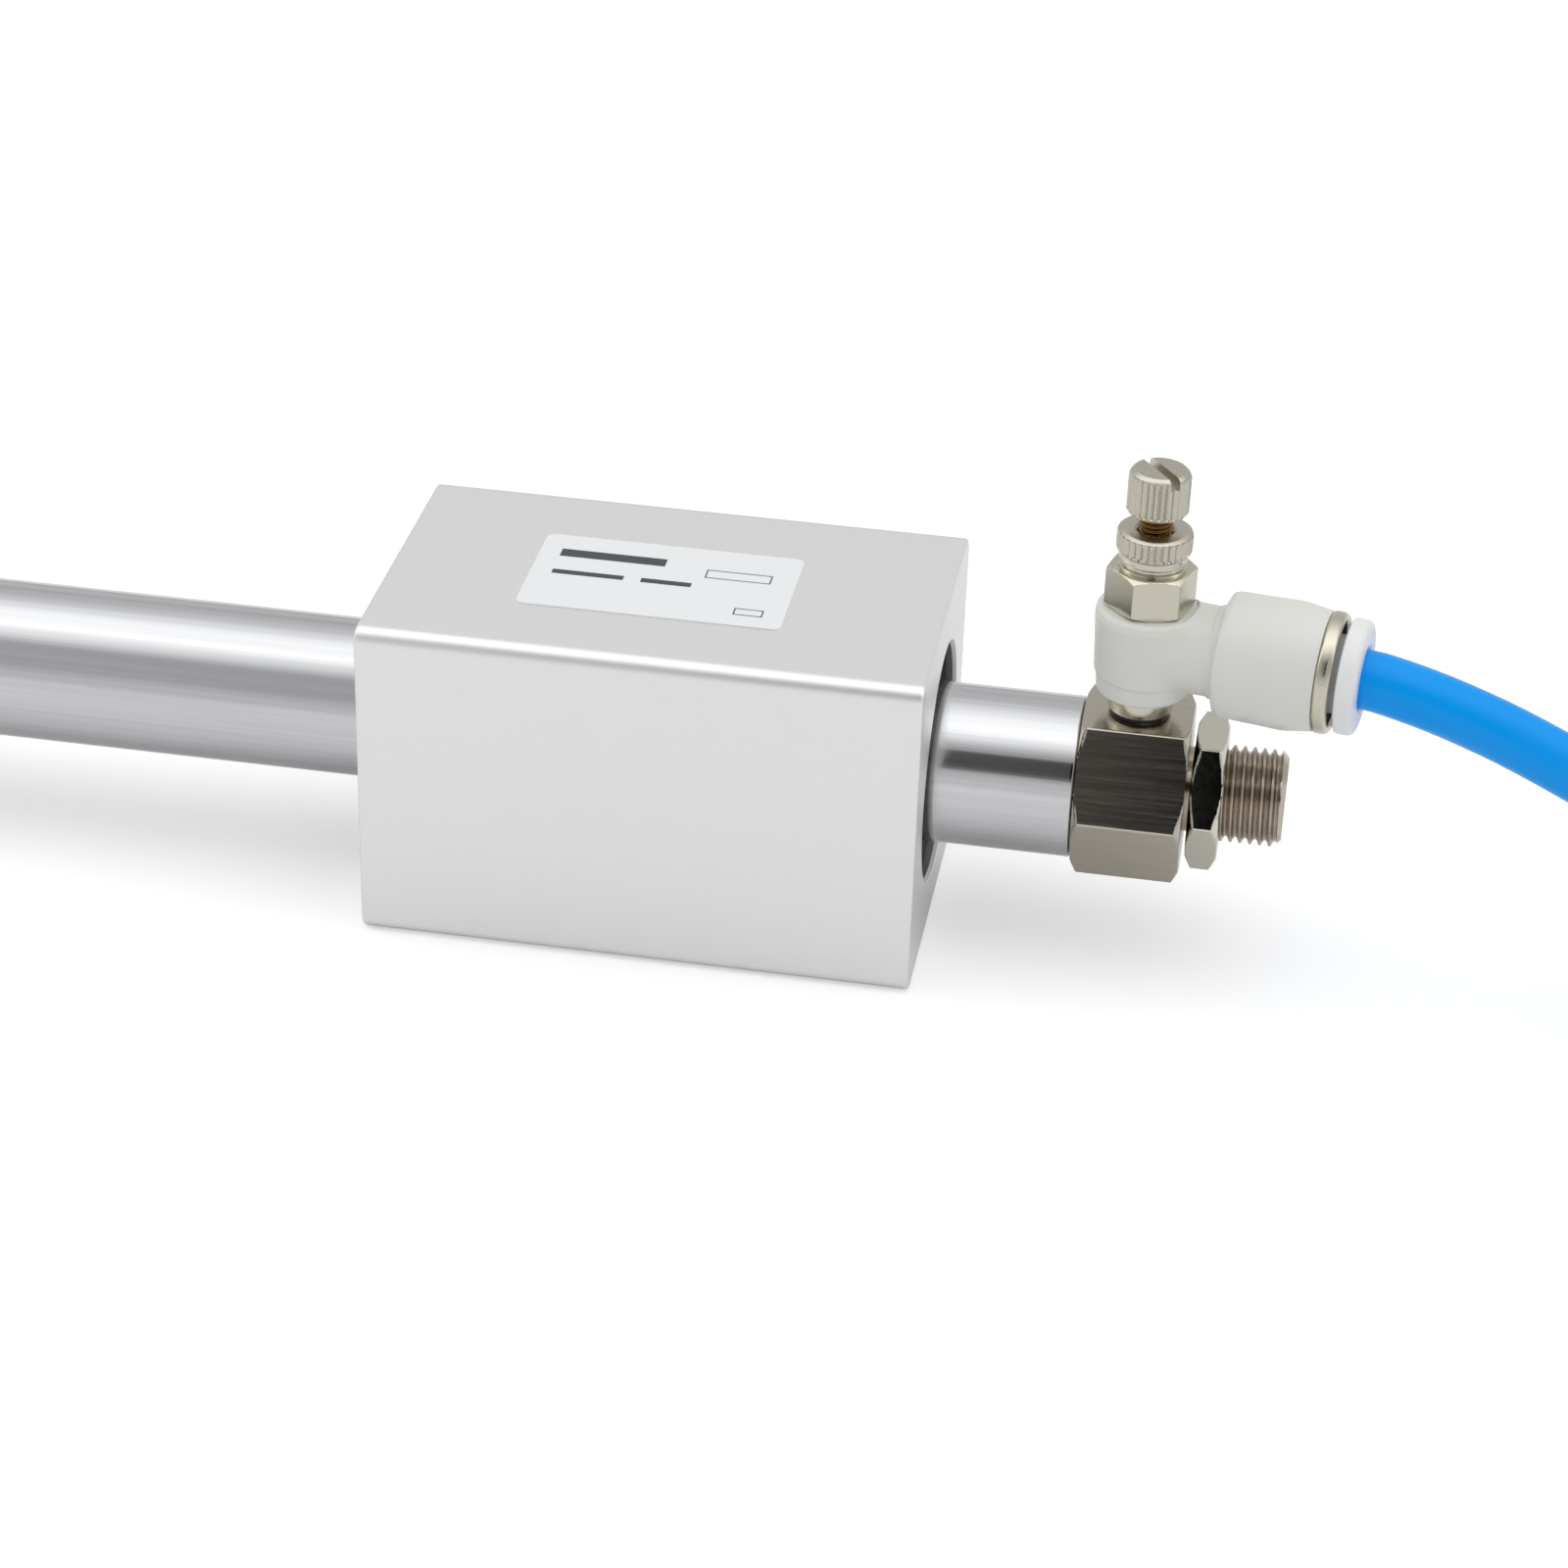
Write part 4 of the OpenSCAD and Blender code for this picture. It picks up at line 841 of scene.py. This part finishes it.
lock_ridges = 30
knob_ridges = 26
ridge_depth = 0.3
knob_z = 30.9
knob_slot = (0.5, 3.5, math.radians(-55))
needle_r = 1.42
finish("nickel_knurled", (.61, .58, .495), 1, .27, (3, 3, 5), 1.5, .05)
finish("needle_brass", (.27, .16, .06), 1, .25, (4, 4, 9), 1.5)

# A knurl presses V grooves into a band of a turned mesh.
wires = Wires("knurl", Geometry=["Geometry"], Float=["Ridges", "Depth", "Low", "High", "Outside"],
              Material=["Material"])
plus, minus, times, over, lesser, greater = wires.words()
given = wires.input
across, aside, up = wires.position()
turn_of = over(wires.math("ARCTAN2", aside, across), math.tau)
phase = wires.math("FRACT", plus(times(turn_of, given["Ridges"]), 100.00001))
groove = wires.math("ABSOLUTE", minus(times(phase, 2), 1))
above = wires.math("GREATER_THAN", up, given["Low"])
below = wires.math("LESS_THAN", up, given["High"])
radius = wires.math("SQRT", plus(wires.math("POWER", across, 2), wires.math("POWER", aside, 2)))
outer = wires.math("GREATER_THAN", radius, given["Outside"])
inward = times(times(times(above, below), outer), times(groove, given["Depth"]))
keep = minus(1, over(inward, greater(radius, 0.01)))
knurl_tree = wires.end(given["Geometry"], times(across, keep), times(aside, keep), up)


def knurled(mesh, ridges, low, high, outside):
    """A turned mesh with ridges on its rim from one height to another."""
    return outward(through(knurl_tree, mesh, Ridges=float(ridges), Depth=ridge_depth, Low=low, High=high,
                           Outside=outside, Material=finishes["nickel_plate"]))


lock = knurled(turned("lock_blank", [
    (1.75, .15), (1.9, 0), (3.4, 0), (3.58, .08), (3.72, .22), (3.8, .42), (3.8, .5), (3.8, 1.2),
    (3.8, 1.85), (3.8, 1.95), (3.68, 2.2), (3.4, 2.4), (3.2, 2.45), (2.1, 2.45), (1.75, 2.1)],
    4 * lock_ridges, bored=True), lock_ridges, .3, 2.1, 3.0)
place("lock_nut_knurled", moved(lock, at_port @ Matrix.Translation((0, 0, lock_z))),
      "lock_nut", "nickel_plate", "lock_nut", sharp=25, look="nickel_knurled")

needle_low = turned("needle_low", rounded([
    (0, 13.7), (.35, 13.7), (.9, 15.9), (.9, 18.8), (needle_r, 18.8), (needle_r, 19.2), (.95, 19.2),
    (.95, 20.2), (needle_r, 20.2), (needle_r, 24.5), (0, 24.5)], .05), 64)
needle_thread = moved(threaded(7.55, .5, needle_r, 1.7, .3, .2, sides=72), Matrix.Translation((0, 0, 24.3)))
place("needle_threaded", moved(joined("needle", needle_low, needle_thread), at_port), "needle_screw",
      "needle_brass", "needle")

knob = knurled(turned("knob_blank", [
    (1.72, 0), (2.75, 0), (2.95, .1), (3.08, .3), (3.1, .42), (3.1, .5), (3.1, 2), (3.1, 3.6),
    (3.1, 3.9), (3.06, 4.05), (2.9, 4.3), (2.7, 4.5), (2.5, 4.6), (.001, 4.6), (.001, 1), (1.72, 1)],
    4 * knob_ridges, bored=True), knob_ridges, .35, 4.1, 2.4)
half_slot, slot_z, slot_turn = knob_slot
slot_box = lofted("slot_box", [[(x, y, z) for x, y in corners((-5, 5), (-half_slot, half_slot))]
                               for z in (slot_z, 6)])
knob = carved(knob, moved(slot_box, Matrix.Rotation(slot_turn, 4, "Z")))
place("needle_knob_knurled", moved(knob, at_port @ Matrix.Translation((0, 0, knob_z))),
      "needle_screw", "nickel_plate", "needle_knob", sharp=25, look="nickel_knurled")

# Hose ---------------------------------------------------------
# One metre of blue polyurethane hose, 6 mm outside and 4 mm inside, pushed into the elbow's socket.
# It droops from the button to the table. The spare length lies in a tied hank, two turns wide and two
# layers high, and its far end is cut square and left bare.

socket_start = 9.7
hose_exit = 22.15
hose_r = 3.0
hose_bore_r = 2.0
hose_length = 1000.0
path_step = 2.0
hank_step = 0.004
hank_turns = 3.6
free_route = [(22.15, 0, 16.62), (24.45, 0, 16.38), (26.95, 0, 15.95), (29.95, 0, 15.3),
              (32.95, 0, 14.5), (35.95, 0, 13.6), (38.95, 0, 12.55), (42.95, 0, 11), (46.95, 0, 9.3),
              (50.95, 0, 7.3), (54.95, 0, 5.1), (58.95, 0, 2.7), (62.95, 0, .2), (66.95, 0, -2.1),
              (70.95, 0, -4.2), (74.95, .1, -5.9), (78.95, .3, -7.2), (82.95, .6, -8),
              (86.95, 1, -8.4), (90.95, 1.5, -8.5), (93.95, 1.9, -8.5)]
hank_run = 73.0
hank_lead = 11.5
wide_r = 24.0
fold_r = 18.0
upper_z = -8.5
lower_z = -14.5
tie_along = 46.5
tie_reach = (1.6, 7)
tie_from = 20
tie_squeeze = 0.72
finish("hose_blue", (.0, .36, 1.0), 0, .2, (1.2, 1.2, 1.2), 2, .05, in_Subsurface_Weight=.1,
       in_Subsurface_Scale=.001, in_Specular_IOR_Level=.2)


def on_arm(along, aside, height):
    """A point by the arm's centre line: along it from the port, to its left, and its height."""
    return Vector((port_x + along * math.cos(arm_yaw) + aside * math.sin(arm_yaw),
                   -along * math.sin(arm_yaw) + aside * math.cos(arm_yaw), height))


def smooth_line(points, steps):
    """A Catmull-Rom line through all the points."""
    points = [2 * points[0] - points[1], *points, 2 * points[-1] - points[-2]]
    line = []
    for a, b, c, d in zip(points, points[1:], points[2:], points[3:]):
        for i in range(steps):
            t = i / steps
            line.append(0.5 * (2 * b + (c - a) * t + (2 * a - 5 * b + 4 * c - d) * t**2
                               + (3 * b - a - 3 * c + d) * t**3))
    return [*line, points[-2]]


def evenly(line, step):
    """The same line with points a step apart, the last one at its end."""
    line = np.array(line)
    along = np.concatenate([[0], np.cumsum(np.linalg.norm(np.diff(line, axis=0), axis=1))])
    count = round(along[-1] / step)
    at = np.linspace(0, along[-1], count + 1)
    return np.stack([np.interp(at, along, line[:, k]) for k in range(3)], axis=1)


def eased_step(t, start, end):
    """Goes smoothly from 0 at start to 1 at end."""
    s = min(max((t - start) / (end - start), 0), 1)
    return s * s * (3 - 2 * s)


def tube_mesh(name, line, outer_r, bore_r, sides, squeezed):
    """A hose round a line: outside wall, bore and the flat ring at each end, as one closed mesh."""
    line = [Vector(p) for p in line]
    side = Vector((0, 0, 1)).cross(line[1] - line[0]).normalized()
    verts, faces, count = [], [], len(line)
    for i, point in enumerate(line):
        heading = (line[min(i + 1, count - 1)] - line[max(i - 1, 0)]).normalized()
        side = (side - heading * side.dot(heading)).normalized()
        up = heading.cross(side)
        for r in (outer_r, bore_r):
            for k in range(sides):
                turn = math.tau * k / sides
                verts.append(point + squeezed(point, r * (math.cos(turn) * side + math.sin(turn) * up)))
    ring = 2 * sides
    for k in range(sides):
        n = (k + 1) % sides
        for i in range(count - 1):
            a, b = i * ring, (i + 1) * ring
            faces.append((a + k, a + n, b + n, b + k))
            faces.append((a + sides + n, a + sides + k, b + sides + k, b + sides + n))
        faces.append((k, sides + k, sides + n, n))
        last = (count - 1) * ring
        faces.append((last + n, last + sides + n, last + sides + k, last + k))
    return mesh_of(name, verts, faces)


landing = on_arm(*free_route[-1])
hank_x = landing.x - hank_lead
hank_y = landing.y + wide_r


def on_hank(t):
    """A point of the wound hose after t turns."""
    r = wide_r - (wide_r - fold_r) * (eased_step(t, .62, .92) - eased_step(t, 2.25, 2.5))
    z = upper_z + (lower_z - upper_z) * eased_step(t, 1.5, 1.75)
    leg, share = divmod(4 * (t % 1), 1)
    if leg == 0:
        return Vector((hank_x + hank_run * share, hank_y - r, z))
    if leg == 2:
        return Vector((hank_x + hank_run * (1 - share), hank_y + r, z))
    turn = math.pi * (share - 0.5 if leg == 1 else share + 0.5)
    centre = hank_x + (hank_run if leg == 1 else 0)
    return Vector((centre + r * math.cos(turn), hank_y + r * math.sin(turn), z))


def under_tie(point, offset):
    """Where the tie holds the bundle, each hose gives way on its outer sides."""
    hold = 1 - eased_step(abs(point.x - landing.x - tie_along), *tie_reach)
    if hold <= 0 or point.y > hank_y or point.x < landing.x + tie_from:
        return offset
    outward_y = 1 if point.y > hank_y - (wide_r + fold_r) / 2 else -1
    outward_z = 1 if point.z > (upper_z + lower_z) / 2 else -1
    keep = 1 - hold * tie_squeeze / hose_r
    return Vector((offset.x, offset.y * (keep if offset.y * outward_y > 0 else 1),
                   offset.z * (keep if offset.z * outward_z > 0 else 1)))


socket_line = [on_arm(socket_start, 0, arm_z), on_arm(hose_exit - 4, 0, arm_z)]
winding = [on_hank(t) for t in np.arange(hank_lead / hank_run / 4 + hank_step, hank_turns, hank_step)]
hose_path = evenly(smooth_line([*socket_line, *(on_arm(*p) for p in free_route)], 8) + winding, path_step)
hose_path = hose_path[:round(hose_length / path_step) + 1]
hose = place("air_hose", tube_mesh("air_hose", hose_path, hose_r, hose_bore_r, 36, under_tie), "elbow",
             "hose_blue", "hose", "hose_coil", sharp=50)

# Inner pieces -------------------------------------------------
# What is hidden inside keeps its plain solid and gets the finish of its material, and so does the
# cable tie round the hank.

finish("bare_aluminium", (.7, .7, .71), 1, .35, (1, 9, 9), 2, .08)
finish("magnet", (.35, .35, .37), 1, .3, (5, 5, 5), 1)
finish("yoke_iron", (.25, .25, .26), 1, .4, (6, 6, 6), 2)
finish("shaft_steel", (.58, .58, .6), 1, .22, (.5, 9, 9), 1, .06)
finish("wear_resin", (.5, .42, .3), 0, .5, (5, 5, 5), 2)
finish("felt", (.3, .29, .27), 0, .95, (9, 9, 9), 60, .04, 6)
finish("tie_plastic", (.03, .03, .032), 0, .45, (4, 4, 4), 2)
inner_pieces = {
    "seal_rubber": ["oring", "bumpers", "seal"], "shaft_steel": ["piston_shaft"],
    "bare_aluminium": ["piston_head", "magnet_sleeve"], "magnet": ["_magnet_"], "yoke_iron": ["yoke"],
    "wear_resin": ["wear_ring", "wear_bush"], "felt": ["felt_rings"], "tube_steel": ["collet"],
    "spring_steel": ["spacer_washer", "retaining_ring"], "tie_plastic": ["coil_tie"]}
for look, words in inner_pieces.items():
    for solid in [nodes[name] for name in nodes if any(word in name for word in words)]:
        if not solid.material_slots:
            solid.data.materials.append(None)
        for material_slot in solid.material_slots:
            material_slot.link = "OBJECT"
            material_slot.material = finishes[look]
